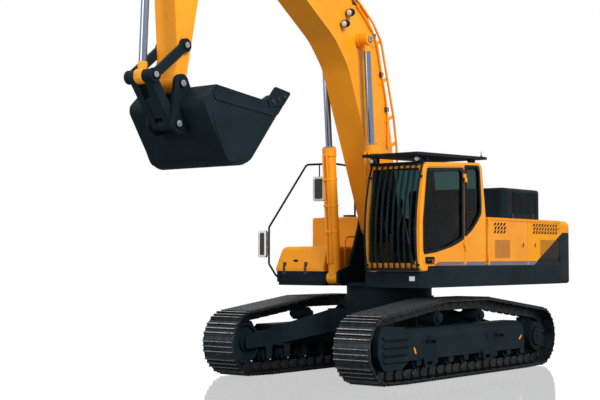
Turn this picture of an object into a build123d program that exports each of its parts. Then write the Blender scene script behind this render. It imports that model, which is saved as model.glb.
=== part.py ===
from build123d import *
import os
from math import atan2, cos, degrees, hypot, pi, radians, sin, sqrt

# Crawler excavator of the 38 tonne class, standing on its tracks with its boom raised.
# Millimetres. +X is forward, +Y is the driver's left, +Z is up, the ground is Z = 0.
# Stations are measured from the swing centre, which lies SWING_X from the origin.

SWING_X = -930           # swing centre, behind the middle of the machine's length
SEAT_GAP = 0.3            # between pieces that rest on each other
PIN_GAP = 0.5             # running clearance of a pin in its bore
SIDE_GAP = 6              # between a link and the fork beside it

# Tracks
GAUGE = 2390              # between the middles of the two tracks
SHOE_WIDTH = 600
SHOE_COUNT = 51
CHAIN_DEPTH = 180         # from the rail's running face to the grousers' tips
GROUSER = 30              # height of a grouser over its shoe
SHOE_PLATE = 16
PITCH_DEPTH = 105         # from the link pins' line to the grousers' tips
RAIL_INNER = 75           # half the space between a chain's two rails
RAIL_OUTER = 125          # half the chain's width over its rails
IDLER = (2170, 492, 300)              # x, z, radius of the running face
SPROCKET = (-2170, 480, 286)
CARRIER_RADIUS = 100
CARRIERS = ((700, 870), (-480, 870))  # x, z
ROLLER_RADIUS = 100
ROLLER_COUNT = 9
ROLLER_REACH = 1700       # from the swing centre to the first and last roller
SPROCKET_TEETH = 21
FRAME_WIDTH = 330         # of a track frame's box
FRAME_BOTTOM = 415
FRAME_TOP = 740
SIDE_PLATE = 205          # from a track's middle to the outer face of its frame
SKIRT_BOTTOM = 310        # lower edge of that outer plate, over the rollers

FRAME_REAR = -1720        # ends of a track frame's box
FRAME_FRONT = 1640
GUARD_STATIONS = (1047, -575)         # of the chain guards and the steps on a track frame
STEP_STATIONS = (1018, -915)
STEP_TOP = 580

# Upper structure
DECK_BOTTOM = 1310
DECK_TOP = 1360
HALF_WIDTH = 1475         # to the outer face of doors, tanks and cab
SKIRT_TOP = 1620
BAND_TOP = 1680           # top of the narrow strip above the skirt
BODY_TOP = 2350
TAIL_RADIUS = 3560
COUNTERWEIGHT_X = -2860   # front face of the counterweight
DOOR_SEAM_X = -1748       # where the two left doors meet
DOOR_THICK = 45
SHEET = 40                # covers and bulkheads, folded edge to folded edge
BEARING_RADIUS = 690
WEB_INNER = 246           # inner face of the plates that carry the boom
WEB_THICK = 44
TOOL_BOX_X = (100, 962)
TOOL_BOX_Y = (-1490, -545)
TOOL_BOX_FLOOR = 1530
TOOL_BOX_TOP = 1912
TOOL_BOX_SHEET = 25
TOOL_BOX_TAPER = 85       # how far the cover's front and outer side lean in

# Cab
CAB_FRONT = 1362
CAB_REAR = -460
CAB_RIGHT = 510
CAB_BOTTOM = 1540
CAB_TOP = 3170            # at the rear; the roof falls towards the front
ROOF_FALL = 85
ROOF_REAR = -345
CAB_WALL = 60
CAB_WAIST = 2250          # the front stands upright below it and leans back above it
CAB_BULGE = 8             # how far the waist stands forward of the front's foot
CAB_LEAN = 122            # how far the roof's front edge stands behind the front's foot
FASCIA_FRONT = 1300       # of the deck and the fascia under the cab

# Front linkage, in the plane of the boom: x, z from the swing centre on the ground
BOOM_FOOT = (250, 2250)
BOOM_ANGLE = 48.2         # of the line from the foot pin to the arm pin
BOOM_LENGTH = 6500
BOOM_WIDTH = 480
ARM_LENGTH = 3200
ARM_ANGLE = -85           # of the line from the arm pin to the bucket pin
ARM_WIDTH = 360
BUCKET_WIDTH = 1330
LIFT_BARREL_PIN = (878, 1430)
LIFT_ROD_PIN = (2607, 1147)           # along and above the boom's line
ARM_BARREL_PIN = (3400, 1580)         # along and above the boom's line
ARM_TAIL = (950, 168.2)               # reach and angle of the rod's pin from the arm's line
BUCKET_BARREL_PIN = (150, 590)        # along and in front of the arm's line
IDLER_PIN = (ARM_LENGTH - 494, -31)   # on the arm, along and in front of its line
LINK_PIN = (ARM_LENGTH - 18, 469)     # where idler links, bucket link and rod meet
EAR_PIN = (ARM_LENGTH + 514, 25)      # on the bucket, where the bucket link ends
LIFT_SPACING = 784        # between the two boom cylinders
LINK_PLATE = 50
LIFT_BARREL = 96          # outer radii of the three sizes of barrel, and of their rods
ARM_BARREL = 100
BUCKET_BARREL = 90
LIFT_ROD = 52
ARM_ROD = 57
BUCKET_ROD = 52


def side_plane(y):
    """x forward and z up; an extrusion from it goes to the machine's right."""
    return Plane(origin=(SWING_X, y, 0), x_dir=(1, 0, 0), z_dir=(0, -1, 0))


def plan_plane(z):
    """x forward and y to the left; an extrusion from it goes up."""
    return Plane(origin=(SWING_X, 0, z))


def link_plane(pin, angle, y):
    """First axis along a link from its pin, second axis a quarter turn above it."""
    direction = (cos(radians(angle)), 0, sin(radians(angle)))
    return Plane(origin=(SWING_X + pin[0], y, pin[1]), x_dir=direction, z_dir=(0, -1, 0))


def from_link(pin, angle, place):
    """x, z of a place given along and above a link's line."""
    c, s = cos(radians(angle)), sin(radians(angle))
    return (pin[0] + place[0] * c - place[1] * s, pin[1] + place[0] * s + place[1] * c)


def plate(plane, corners, depth, mode=Mode.ADD):
    """A plate with the outline of corners (first, second, corner radius)."""
    with BuildSketch(plane) as face:
        with BuildLine():
            FilletPolyline(*[(a, b) for a, b, r in corners], radius=[r for a, b, r in corners], close=True)
        make_face()
    extrude(face.sketch, amount=depth, mode=mode)


def outline(corners, grow=0, mode=Mode.ADD):
    """A face with rounded corners in the sketch at hand, grown or shrunk all round."""
    with BuildSketch() as shape:
        with BuildLine():
            FilletPolyline(*[(a, b) for a, b, r in corners], radius=[r for a, b, r in corners], close=True)
        make_face()
        if grow:
            offset(amount=grow)
    add(shape.sketch, mode=mode)


def disc(plane, centre, radius, depth, mode=Mode.ADD):
    """A cylinder that stands on a plane."""
    with BuildSketch(plane) as face:
        with Locations(centre):
            Circle(radius)
    extrude(face.sketch, amount=depth, mode=mode)


def block(x, y, z, mode=Mode.ADD):
    """A box given by its x, y and z ranges."""
    with BuildSketch(plan_plane(z[0])) as face:
        with Locations(((x[0] + x[1]) / 2, (y[0] + y[1]) / 2)):
            Rectangle(x[1] - x[0], y[1] - y[0])
    extrude(face.sketch, amount=z[1] - z[0], mode=mode)


def tube(path_points, radii, radius):
    """A round bar or pipe along a path with bent corners; points are x, y, z."""
    with BuildLine() as path:
        FilletPolyline(*[(SWING_X + x, y, z) for x, y, z in path_points], radius=radii)
    with BuildSketch(Plane(origin=path.line @ 0, z_dir=path.line % 0)) as section:
        Circle(radius)
    sweep(section.sketch, path=path.line)


def save(piece, node):
    """Labels a finished piece and writes its file."""
    piece.part.label = node
    export_step(piece.part, f"parts/{node}.step")


BOOM_TIP = from_link(BOOM_FOOT, BOOM_ANGLE, (BOOM_LENGTH, 0))
BUCKET_PIN = from_link(BOOM_TIP, ARM_ANGLE, (ARM_LENGTH, 0))
TAIL_PIN = (ARM_TAIL[0] * cos(radians(ARM_TAIL[1])), ARM_TAIL[0] * sin(radians(ARM_TAIL[1])))


# The belt of a track: circles in order round the loop, and shoes spaced along it

BELT = (
    (-ROLLER_REACH, ROLLER_RADIUS + CHAIN_DEPTH, ROLLER_RADIUS),
    (ROLLER_REACH, ROLLER_RADIUS + CHAIN_DEPTH, ROLLER_RADIUS),
    IDLER,
    (*CARRIERS[0], CARRIER_RADIUS),
    (*CARRIERS[1], CARRIER_RADIUS),
    SPROCKET,
)


def belt_runs(depth):
    """Straight runs between the belt's circles grown by depth: start, end and outward normal."""
    runs = []
    for (x0, z0, r0), (x1, z1, r1) in zip(BELT, BELT[1:] + BELT[:1]):
        span = hypot(x1 - x0, z1 - z0)
        along = ((x1 - x0) / span, (z1 - z0) / span)
        lean = (r0 - r1) / span
        rise = sqrt(1 - lean * lean)
        normal = (along[0] * lean + along[1] * rise, along[1] * lean - along[0] * rise)
        start = (x0 + (r0 + depth) * normal[0], z0 + (r0 + depth) * normal[1])
        end = (x1 + (r1 + depth) * normal[0], z1 + (r1 + depth) * normal[1])
        runs.append((start, end, normal))
    return runs


def belt_places(count, depth):
    """Middles and outward normals of count shoes, evenly spaced along the belt."""
    pieces = []
    runs = belt_runs(depth)
    for index, (start, end, normal) in enumerate(runs):
        pieces.append(("run", hypot(end[0] - start[0], end[1] - start[1]), start, end, normal))
        circle = BELT[(index + 1) % len(BELT)]
        following = runs[(index + 1) % len(runs)][2]
        turn = (atan2(following[1], following[0]) - atan2(normal[1], normal[0])) % (2 * pi)
        pieces.append(("arc", turn * (circle[2] + depth), circle, turn, normal))
    step = sum(piece[1] for piece in pieces) / count
    places = []
    for number in range(count):
        distance = (number + 0.5) * step
        for kind, length, first, second, normal in pieces:
            if distance > length:
                distance -= length
                continue
            if kind == "run":
                share = distance / length
                centre = tuple(a + (b - a) * share for a, b in zip(first, second))
            else:
                angle = atan2(normal[1], normal[0]) + second * distance / length
                normal = (cos(angle), sin(angle))
                reach = first[2] + depth
                centre = (first[0] + reach * normal[0], first[1] + reach * normal[1])
            places.append((centre, normal))
            break
    return places, step


SHOES, SHOE_PITCH = belt_places(SHOE_COUNT, CHAIN_DEPTH - PITCH_DEPTH)


def shoe_ring(profile):
    """Closed outline that repeats a profile (along, outward from the pins) on every shoe."""
    points = []
    for (x, z), (nx, nz) in SHOES:
        points += [(x - nz * along + nx * out, z + nx * along + nz * out) for along, out in profile]
    return points


SHOE_TOP = PITCH_DEPTH - GROUSER
GROUSER_STEP = SHOE_PITCH * 0.34
GROUSER_FOOT = 13
GROUSER_PROFILE = [
    (row * GROUSER_STEP + side * GROUSER_FOOT, SHOE_TOP + GROUSER * (side == 0))
    for row in (-1, 0, 1)
    for side in (-1, 0, 1)
]


def track_piece(y):
    """One endless track whose middle is at y: shoes outside, two rails inside."""
    with BuildPart() as track:
        with BuildSketch(side_plane(y + SHOE_WIDTH / 2)) as band:
            Polygon(*shoe_ring(GROUSER_PROFILE), align=None)
            Polygon(*shoe_ring([(0, SHOE_TOP - SHOE_PLATE)]), align=None, mode=Mode.SUBTRACT)
        extrude(band.sketch, amount=SHOE_WIDTH)
        for inner_edge in (y + RAIL_INNER, y - RAIL_OUTER):
            with BuildSketch(side_plane(inner_edge + RAIL_OUTER - RAIL_INNER)) as rail:
                Polygon(*shoe_ring([(0, SHOE_TOP - SHOE_PLATE / 2)]), align=None)
                with BuildSketch(mode=Mode.SUBTRACT):
                    with BuildLine():
                        for x, z, radius in BELT:
                            CenterArc((x, z), radius, 0, 360)
                    make_hull()
            extrude(rail.sketch, amount=RAIL_OUTER - RAIL_INNER)
    return track


for side, y in (("left", GAUGE / 2), ("right", -GAUGE / 2)):
    out = 1 if side == "left" else -1
    half_box = FRAME_WIDTH / 2

    def outside(near, far):
        """Side plane from which a plate between two distances outside the track's middle is extruded."""
        return side_plane(max(y + out * near, y + out * far))

    save(track_piece(y), f"track_{side}")

    # Idler: two treads with a guide flange between the rails
    x, z, radius = IDLER
    tread = radius - SEAT_GAP
    with BuildPart() as idler:
        with BuildSketch(side_plane(y + 135)) as face:
            with Locations((x, z)):
                Circle(tread)
        extrude(face.sketch, amount=270)
        disc(side_plane(y + RAIL_INNER - 12), (x, z), tread + 28, 2 * (RAIL_INNER - 12))
        for face_y in (y + 135, y - 95):
            with BuildSketch(side_plane(face_y)) as dish:
                with Locations((x, z)):
                    Circle(tread - 45)
                    Circle(115, mode=Mode.SUBTRACT)
            extrude(dish.sketch, amount=40, mode=Mode.SUBTRACT)
        disc(side_plane(y + 150), (x, z), 70, 300)
    save(idler, f"idler_{side}")

    # Drive sprocket with its final drive and travel motor
    x, z, radius = SPROCKET
    pitch_radius = radius + CHAIN_DEPTH - PITCH_DEPTH
    with BuildPart() as sprocket:
        disc(side_plane(y + 45), (x, z), pitch_radius - 35, 90)
        with BuildSketch(side_plane(y + 45)) as teeth:
            with Locations((x, z)):
                with PolarLocations(pitch_radius - 12, SPROCKET_TEETH):
                    Trapezoid(56, 52, 68, rotation=-90)
        extrude(teeth.sketch, amount=90)
        hub_out = y + 190 if side == "left" else y - 45
        disc(side_plane(hub_out), (x, z), 225, 145)
        cap_out = y + 222 if side == "left" else y - 190
        disc(side_plane(cap_out), (x, z), 150, 32)
        motor_out = y - 45 if side == "left" else y + 320
        disc(side_plane(motor_out), (x, z), 165, 275)
    save(sprocket, f"sprocket_{side}")

    # Track rollers and carrier rollers
    with BuildPart() as rollers:
        for number in range(ROLLER_COUNT):
            x = ROLLER_REACH - 2 * ROLLER_REACH * number / (ROLLER_COUNT - 1)
            z = ROLLER_RADIUS + CHAIN_DEPTH
            tread = ROLLER_RADIUS - SEAT_GAP
            disc(side_plane(y + 140), (x, z), tread, 280)
            disc(side_plane(y + RAIL_INNER - 5), (x, z), tread + 18, 26)
            disc(side_plane(y - RAIL_INNER + 31), (x, z), tread + 18, 26)
            disc(side_plane(y + 160), (x, z), 45, 320)
    save(rollers, f"track_rollers_{side}")

    with BuildPart() as carriers:
        for x, z in CARRIERS:
            disc(side_plane(y + 135), (x, z), CARRIER_RADIUS - SEAT_GAP, 270)
            disc(side_plane(y + 170), (x, z), 40, 340)
            disc(outside(135, 180), (x, z), 66, 45)
    save(carriers, f"carrier_rollers_{side}")

    # Track frame: box with a sloping outer shoulder, roller collars, guards and steps, idler yoke
    with BuildPart() as frame:
        start = FRAME_REAR if out > 0 else FRAME_FRONT
        section = Plane(origin=(SWING_X + start, y, 0), x_dir=(0, out, 0), z_dir=(out, 0, 0))
        box_section = ((-half_box, FRAME_BOTTOM, 0), (SIDE_PLATE - 20, FRAME_BOTTOM, 0), (SIDE_PLATE - 20, SKIRT_BOTTOM, 0),
                       (SIDE_PLATE, SKIRT_BOTTOM, 0), (SIDE_PLATE, FRAME_TOP - 95, 15), (SIDE_PLATE - 90, FRAME_TOP, 15),
                       (-half_box, FRAME_TOP, 0))
        plate(section, box_section, FRAME_FRONT - FRAME_REAR)
        for number in range(ROLLER_COUNT):
            x = ROLLER_REACH - 2 * ROLLER_REACH * number / (ROLLER_COUNT - 1)
            z = ROLLER_RADIUS + CHAIN_DEPTH
            for collar_y in (y + 160 + SEAT_GAP + 30, y - 160 - SEAT_GAP):
                collar = ((x - 75, FRAME_BOTTOM + 20, 0), (x - 60, z - 55, 25), (x + 60, z - 55, 25),
                          (x + 75, FRAME_BOTTOM + 20, 0))
                plate(side_plane(collar_y), collar, 30)
        for x in GUARD_STATIONS:
            guard = ((x - 165, SKIRT_BOTTOM + 30, 0), (x - 120, 190, 40), (x + 120, 190, 40), (x + 165, SKIRT_BOTTOM + 30, 0))
            plate(outside(SIDE_PLATE - 10, SIDE_PLATE + 20), guard, 30)
            plate(outside(SIDE_PLATE - 10, SIDE_PLATE + 20), ((x - 70, 225, 0), (x - 70, 275, 0), (x + 70, 275, 0), (x + 70, 225, 0)),
                  30, mode=Mode.SUBTRACT)
        for x in STEP_STATIONS:
            step_y = sorted((y + out * (SIDE_PLATE - 5), y + out * (SIDE_PLATE + 50)))
            block((x - 95, x + 95), step_y, (STEP_TOP - 12, STEP_TOP))
            for cheek in (x - 95, x + 85):
                block((cheek, cheek + 10), step_y, (STEP_TOP - 55, STEP_TOP))
        x, z, radius = IDLER
        fork = ((1500, 440, 0), (2230, 400, 60), (2230, 600, 90), (1500, 690, 0))
        for fork_y in (y + 150 + SEAT_GAP + 40, y - 150 - SEAT_GAP):
            plate(side_plane(fork_y), fork, 40)
        cover = ((1600, SKIRT_BOTTOM + 20, 0), (1780, 208, 60), (x + 50, 208, 120), (x + 185, 400, 150), (x + 185, 650, 150),
                 (x + 90, 815, 110), (1700, 780, 0), (1600, FRAME_TOP - 100, 0))
        plate(outside(160 + SEAT_GAP, 245), cover, 85 - SEAT_GAP)
        plate(outside(235, 246), ((1715, 380, 0), (x + 150, 380, 0), (x + 150, 400, 0), (1715, 400, 0)), 11, mode=Mode.SUBTRACT)
        plate(outside(235, 246), ((1715, 640, 0), (x + 150, 640, 0), (x + 150, 660, 0), (1715, 660, 0)), 11, mode=Mode.SUBTRACT)
        x, z, radius = SPROCKET
        bracket_y = y - 60 if side == "left" else y + 95
        bracket = ((x - 200, z - 180, 120), (-1600, FRAME_BOTTOM, 0), (-1600, 660, 0), (x - 200, z + 180, 120))
        plate(side_plane(bracket_y), bracket, 35)
        disc(side_plane(bracket_y), (x, z), 165 + SEAT_GAP, 35, mode=Mode.SUBTRACT)
        for x, z in CARRIERS:
            block((x - 70, x + 70), sorted((y - out * (200 + SEAT_GAP), y - out * 100)), (FRAME_TOP - 30, FRAME_TOP + 20))
            post = ((x - 70, FRAME_TOP - 30, 0), (x + 70, FRAME_TOP - 30, 0), (x + 55, z + 50, 40), (x - 55, z + 50, 40))
            plate(outside(-170 - SEAT_GAP, -200 - SEAT_GAP), post, 30)
    save(frame, f"track_frame_{side}")

TOW_EYE = (850, 705)      # x either way from the swing centre, z
TOW_EYE_RADIUS = 30

# Centre frame: turned hub on a box with four legs to the track frames
LEG_END = GAUGE / 2 - FRAME_WIDTH / 2 - SEAT_GAP
with BuildPart() as centre_frame:
    block((-760, 760), (-620, 620), (600, 960))
    disc(plan_plane(900), (0, 0), BEARING_RADIUS, 250)
    for fore in (1, -1):
        for hand in (1, -1):
            with BuildSketch(Plane(origin=(SWING_X, hand * 560, 0), x_dir=(1, 0, 0), z_dir=(0, -hand, 0))) as root:
                with Locations((fore * 500, hand * 780)):
                    Rectangle(520, 350)
            with BuildSketch(Plane(origin=(SWING_X, hand * LEG_END, 0), x_dir=(1, 0, 0), z_dir=(0, -hand, 0))) as foot:
                with Locations((fore * 1150, hand * 588)):
                    Rectangle(440, 280)
            loft(Sketch() + [root.sketch, foot.sketch])
    for fore in (1, -1):
        eye = ((fore * 740, 640, 0), (fore * TOW_EYE[0] + fore * 70, 640, 40), (fore * TOW_EYE[0] + fore * 70, 780, 60),
               (fore * 740, 800, 0))
        plate(side_plane(20), eye, 40)
        disc(side_plane(20), (fore * TOW_EYE[0], TOW_EYE[1]), TOW_EYE_RADIUS, 40, mode=Mode.SUBTRACT)
save(centre_frame, "centre_frame")

with BuildPart() as bearing:
    disc(plan_plane(1150), (0, 0), BEARING_RADIUS - 30, DECK_BOTTOM - SEAT_GAP - 1150)
    disc(plan_plane(1150), (0, 0), BEARING_RADIUS - 180, DECK_BOTTOM - 1150, mode=Mode.SUBTRACT)
save(bearing, "swing_bearing")

# Upper frame: deck, skirts, boom brackets and cab mounts
with BuildPart() as upper_frame:
    deck = (
        (COUNTERWEIGHT_X, -HALF_WIDTH, 0), (TOOL_BOX_X[1] - 10, -HALF_WIDTH, 60), (TOOL_BOX_X[1] - 10, -560, 0),
        (780, -540, 40), (780, 500, 40), (FASCIA_FRONT, 520, 40), (FASCIA_FRONT, HALF_WIDTH, 98),
        (COUNTERWEIGHT_X, HALF_WIDTH, 0),
    )
    plate(plan_plane(DECK_BOTTOM), deck, DECK_TOP - DECK_BOTTOM)
    nose = LIFT_BARREL_PIN[0] + 105
    web = (
        (COUNTERWEIGHT_X, DECK_TOP - 10, 0), (nose, DECK_TOP - 10, 0), (nose, 1530, 60), (nose - 300, 1620, 60),
        (BOOM_FOOT[0] + 185, BOOM_FOOT[1], 0), (BOOM_FOOT[0] + 150, BOOM_FOOT[1] + 175, 140),
        (BOOM_FOOT[0] - 170, BOOM_FOOT[1] + 150, 140), (-900, 1700, 150), (COUNTERWEIGHT_X, 1560, 0),
    )
    for web_y in (WEB_INNER + WEB_THICK, -WEB_INNER):
        plate(side_plane(web_y), web, WEB_THICK)
    disc(side_plane(WEB_INNER + WEB_THICK + 20), BOOM_FOOT, 58, 2 * (WEB_INNER + WEB_THICK + 20))
    for hand in (1, -1):
        lug_y = hand * LIFT_SPACING / 2
        disc(side_plane(lug_y + 140), LIFT_BARREL_PIN, 48, 280)
        lug = ((nose - 440, DECK_TOP - 10, 0), (nose, DECK_TOP - 10, 0), (nose, 1500, 70), (nose - 180, 1520, 60))
        plate(side_plane(lug_y + hand * (LIFT_BARREL + SIDE_GAP + 15) + 15), lug, 30)
    rim = COUNTERWEIGHT_X + 6
    fascia = ((rim, HALF_WIDTH + 12, 0), (FASCIA_FRONT + 12, HALF_WIDTH + 12, 110), (FASCIA_FRONT + 12, CAB_RIGHT, 0),
              (FASCIA_FRONT, CAB_RIGHT, 0), (FASCIA_FRONT, HALF_WIDTH, 98), (rim, HALF_WIDTH, 0))
    plate(plan_plane(DECK_BOTTOM), fascia, CAB_BOTTOM - 8 - DECK_BOTTOM)
    for skirt_y, end in ((HALF_WIDTH + 12, FASCIA_FRONT - 120), (-HALF_WIDTH, TOOL_BOX_X[0] - 8)):
        plate(side_plane(skirt_y), ((rim, DECK_BOTTOM, 0), (end, DECK_BOTTOM, 0), (end, SKIRT_TOP, 25), (rim, SKIRT_TOP, 0)), 12)
    for x in (CAB_REAR + 180, CAB_FRONT - 220):
        for y in (CAB_RIGHT + 150, HALF_WIDTH - 150):
            disc(plan_plane(DECK_TOP - 10), (x, y), 75, CAB_BOTTOM - SEAT_GAP - DECK_TOP + 10)
save(upper_frame, "upper_frame")

with BuildPart() as counterweight:
    with BuildSketch(plan_plane(DECK_BOTTOM)) as plan:
        corner = sqrt(TAIL_RADIUS ** 2 - HALF_WIDTH ** 2)
        front = COUNTERWEIGHT_X - SEAT_GAP
        with BuildLine():
            Polyline((-corner, HALF_WIDTH), (front, HALF_WIDTH), (front, -HALF_WIDTH), (-corner, -HALF_WIDTH))
            ThreePointArc((-corner, -HALF_WIDTH), (-TAIL_RADIUS, 0), (-corner, HALF_WIDTH))
        make_face()
        fillet(plan.vertices().group_by(Axis.X)[0], 140)
    extrude(amount=BODY_TOP - DECK_BOTTOM)
    fillet(counterweight.faces().sort_by(Axis.Z)[-1].edges().filter_by_position(
        Axis.X, SWING_X - TAIL_RADIUS, SWING_X + COUNTERWEIGHT_X - 10), 95)
    fillet(counterweight.faces().sort_by(Axis.Z)[0].edges().filter_by_position(
        Axis.X, SWING_X - TAIL_RADIUS, SWING_X + COUNTERWEIGHT_X - 10), 45)
save(counterweight, "counterweight")

# Housing behind the cab: bulkheads, door posts and the fixed top cover
HOOD_X = (-2900, -1640)
HOOD_Y = (-760, 1100)
HOOD_TOP = 2870
TANK_X = (-1530, 85)
DOOR_BOTTOM = BAND_TOP + 4
COVER_BOTTOM = BODY_TOP - SHEET
BAY_FRONT = CAB_REAR - 30
KNUCKLE = 90              # hinge barrels of the service doors
KNUCKLE_RADIUS = 11
KNUCKLE_OUT = 7           # from a door's face to its hinge axis
DOOR_HINGE_X = (("left_door_front", BAY_FRONT - 12, 1), ("left_door_rear", COUNTERWEIGHT_X + 16, 1),
                ("right_door", COUNTERWEIGHT_X + 16, -1))

with BuildPart() as house:
    cover = (
        (COUNTERWEIGHT_X + SEAT_GAP, -HALF_WIDTH, 0), (TANK_X[0] - 10, -HALF_WIDTH, 0), (TANK_X[0] - 10, -WEB_INNER, 0),
        (BAY_FRONT, -WEB_INNER, 0), (BAY_FRONT, HALF_WIDTH, 0), (COUNTERWEIGHT_X + SEAT_GAP, HALF_WIDTH, 0),
    )
    plate(plan_plane(COVER_BOTTOM), cover, SHEET)
    block((HOOD_X[0] + 60, HOOD_X[1] - 60), (HOOD_Y[0] + 60, HOOD_Y[1] - 60), (COVER_BOTTOM, BODY_TOP), mode=Mode.SUBTRACT)
    bays = (
        (BAY_FRONT - SHEET, BAY_FRONT, WEB_INNER + WEB_THICK + 60, HALF_WIDTH - DOOR_THICK - 10),
        (DOOR_SEAM_X - SHEET / 2, DOOR_SEAM_X + SHEET / 2, WEB_INNER + WEB_THICK + 60, HALF_WIDTH - DOOR_THICK - 10),
        (COUNTERWEIGHT_X + SEAT_GAP, COUNTERWEIGHT_X + SHEET, -HALF_WIDTH + DOOR_THICK + 10, -WEB_INNER - WEB_THICK - 60),
        (COUNTERWEIGHT_X + SEAT_GAP, COUNTERWEIGHT_X + SHEET, WEB_INNER + WEB_THICK + 60, HALF_WIDTH - DOOR_THICK - 10),
        (TANK_X[0] - SHEET - 10, TANK_X[0] - 10, -HALF_WIDTH + DOOR_THICK + 10, -WEB_INNER - WEB_THICK - 60),
    )
    for x0, x1, y0, y1 in bays:
        block((x0, x1), (y0, y1), (DECK_TOP + SEAT_GAP, COVER_BOTTOM + 5))
    for hand in (1, -1):
        x_front = BAY_FRONT if hand > 0 else TANK_X[0] - 10
        strip_y = HALF_WIDTH + 12 if hand > 0 else -HALF_WIDTH
        plate(side_plane(strip_y), ((COUNTERWEIGHT_X + 6, SKIRT_TOP + SEAT_GAP, 0), (x_front, SKIRT_TOP + SEAT_GAP, 0),
                                    (x_front, BAND_TOP, 0), (COUNTERWEIGHT_X + 6, BAND_TOP, 0)), 12)
        block((COUNTERWEIGHT_X + 6, (BAY_FRONT if hand > 0 else TANK_X[0] - 10)),
              sorted((hand * (HALF_WIDTH - DOOR_THICK - 30), hand * (HALF_WIDTH + 5))), (SKIRT_TOP + 10, BAND_TOP))
    for node, x, hand in DOOR_HINGE_X:
        disc(plan_plane(SKIRT_TOP + 20), (x, hand * (HALF_WIDTH + KNUCKLE_OUT)), KNUCKLE_RADIUS,
             DOOR_BOTTOM - SEAT_GAP - SKIRT_TOP - 20)
        disc(plan_plane(COVER_BOTTOM - 5 + SEAT_GAP), (x, hand * (HALF_WIDTH + KNUCKLE_OUT)), KNUCKLE_RADIUS, 25)
save(house, "machine_house")


def service_door(node, x0, x1, outer_y, hinge_x):
    """A side door between x0 and x1, with its hinge barrel at hinge_x outside its face."""
    hand = 1 if outer_y > 0 else -1
    with BuildPart() as door:
        plate(side_plane(max(outer_y, outer_y - hand * DOOR_THICK)),
              ((x0, DOOR_BOTTOM, 15), (x1, DOOR_BOTTOM, 15), (x1, COVER_BOTTOM - 5, 15), (x0, COVER_BOTTOM - 5, 15)), DOOR_THICK)
        for z in (DOOR_BOTTOM, COVER_BOTTOM - 5 - KNUCKLE):
            disc(plan_plane(z), (hinge_x, outer_y + hand * KNUCKLE_OUT), KNUCKLE_RADIUS, KNUCKLE)
    save(door, node)


DOOR_SPANS = {
    "left_door_front": (DOOR_SEAM_X + 4, BAY_FRONT - 4),
    "left_door_rear": (COUNTERWEIGHT_X + 8, DOOR_SEAM_X - 4),
    "right_door": (COUNTERWEIGHT_X + 8, TANK_X[0] - 14),
}
for node, x, hand in DOOR_HINGE_X:
    service_door(node, *DOOR_SPANS[node], hand * HALF_WIDTH, x)

# Engine hood: a box lid, hinged along its front edge
with BuildPart() as hood:
    block(HOOD_X, HOOD_Y, (BODY_TOP + SEAT_GAP, HOOD_TOP))
    fillet(hood.edges().filter_by(Axis.Z), 90)
    fillet(hood.faces().sort_by(Axis.Z)[-1].edges(), 50)
    offset(amount=-SHEET, openings=hood.faces().sort_by(Axis.Z)[0])
    for y in (HOOD_Y[0] + 300, HOOD_Y[1] - 300):
        disc(side_plane(y + 60), (HOOD_X[1] + 10, BODY_TOP + 14), 12, 120)
save(hood, "engine_hood")

with BuildPart() as engine:
    block((-2700, -1800), (-430, 640), (DECK_TOP + SEAT_GAP, 2240))
    for web_y in (WEB_INNER + WEB_THICK + 4, -WEB_INNER + 4):
        plate(side_plane(web_y), ((-2710, DECK_TOP, 0), (-1790, DECK_TOP, 0), (-1790, 1720, 0), (-2710, 1720, 0)),
              WEB_THICK + 8, mode=Mode.SUBTRACT)
save(engine, "engine_block")

# Fuel tank and hydraulic tank on the right, tool box in front of them
TANK_Y = (-HALF_WIDTH, -WEB_INNER - WEB_THICK - 40)
for node, x0, x1 in (("fuel_tank", -700, TANK_X[1]), ("hydraulic_tank", TANK_X[0], -710)):
    with BuildPart() as tank:
        block((x0, x1), TANK_Y, (DECK_TOP + SEAT_GAP, BODY_TOP + 35))
        fillet(tank.edges().filter_by(Axis.Z), 60)
        fillet(tank.faces().sort_by(Axis.Z)[-1].edges(), 35)
        disc(plan_plane(BODY_TOP + 35), ((x0 + x1) / 2, -1000), 90, 45)
    save(tank, node)

with BuildPart() as tool_base:
    block(TOOL_BOX_X, TOOL_BOX_Y, (DECK_TOP + SEAT_GAP, TOOL_BOX_FLOOR))
    fillet(tool_base.edges().filter_by(Axis.Z), 40)
    fillet(tool_base.faces().sort_by(Axis.Z)[0].edges(), 12)
save(tool_base, "tool_box_base")


def tool_cover(inset, mode):
    """The cover's side outline cut by its front outline, both taken in by inset."""
    (x0, x1), (y0, y1) = TOOL_BOX_X, TOOL_BOX_Y
    foot, top = TOOL_BOX_FLOOR + SEAT_GAP, TOOL_BOX_TOP - inset
    with BuildPart() as cover:
        side = ((x0 + inset, foot, 0), (x1 - inset, foot, 0), (x1 - inset, foot + 45, 20),
                (x1 - TOOL_BOX_TAPER - inset, top, 90 - inset), (x0 + inset, top, 0))
        plate(side_plane(y1 - inset), side, y1 - y0 - 2 * inset)
        front = ((y1 - inset, foot, 0), (y1 - inset, top, 40 - inset), (y0 + TOOL_BOX_TAPER + inset, top, 90 - inset),
                 (y0 + inset, foot + 45, 20), (y0 + inset, foot, 0))
        ahead = Plane(origin=(SWING_X, 0, 0), x_dir=(0, 1, 0), z_dir=(1, 0, 0))
        plate(ahead, front, x1 + 100, mode=Mode.INTERSECT)
    add(cover.part, mode=mode)


with BuildPart() as tool_lid:
    tool_cover(0, Mode.ADD)
    tool_cover(TOOL_BOX_SHEET, Mode.SUBTRACT)
    for y in (TOOL_BOX_Y[0] + 260, TOOL_BOX_Y[1] - 200):
        disc(side_plane(y + 50), (TOOL_BOX_X[0] + 2, TOOL_BOX_TOP - 10), 11, 100)
save(tool_lid, "tool_box_lid")

# Cab: shell with its window and door openings
CAB_OUTER = HALF_WIDTH - 5
CAB_BROW = CAB_FRONT - CAB_LEAN


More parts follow.
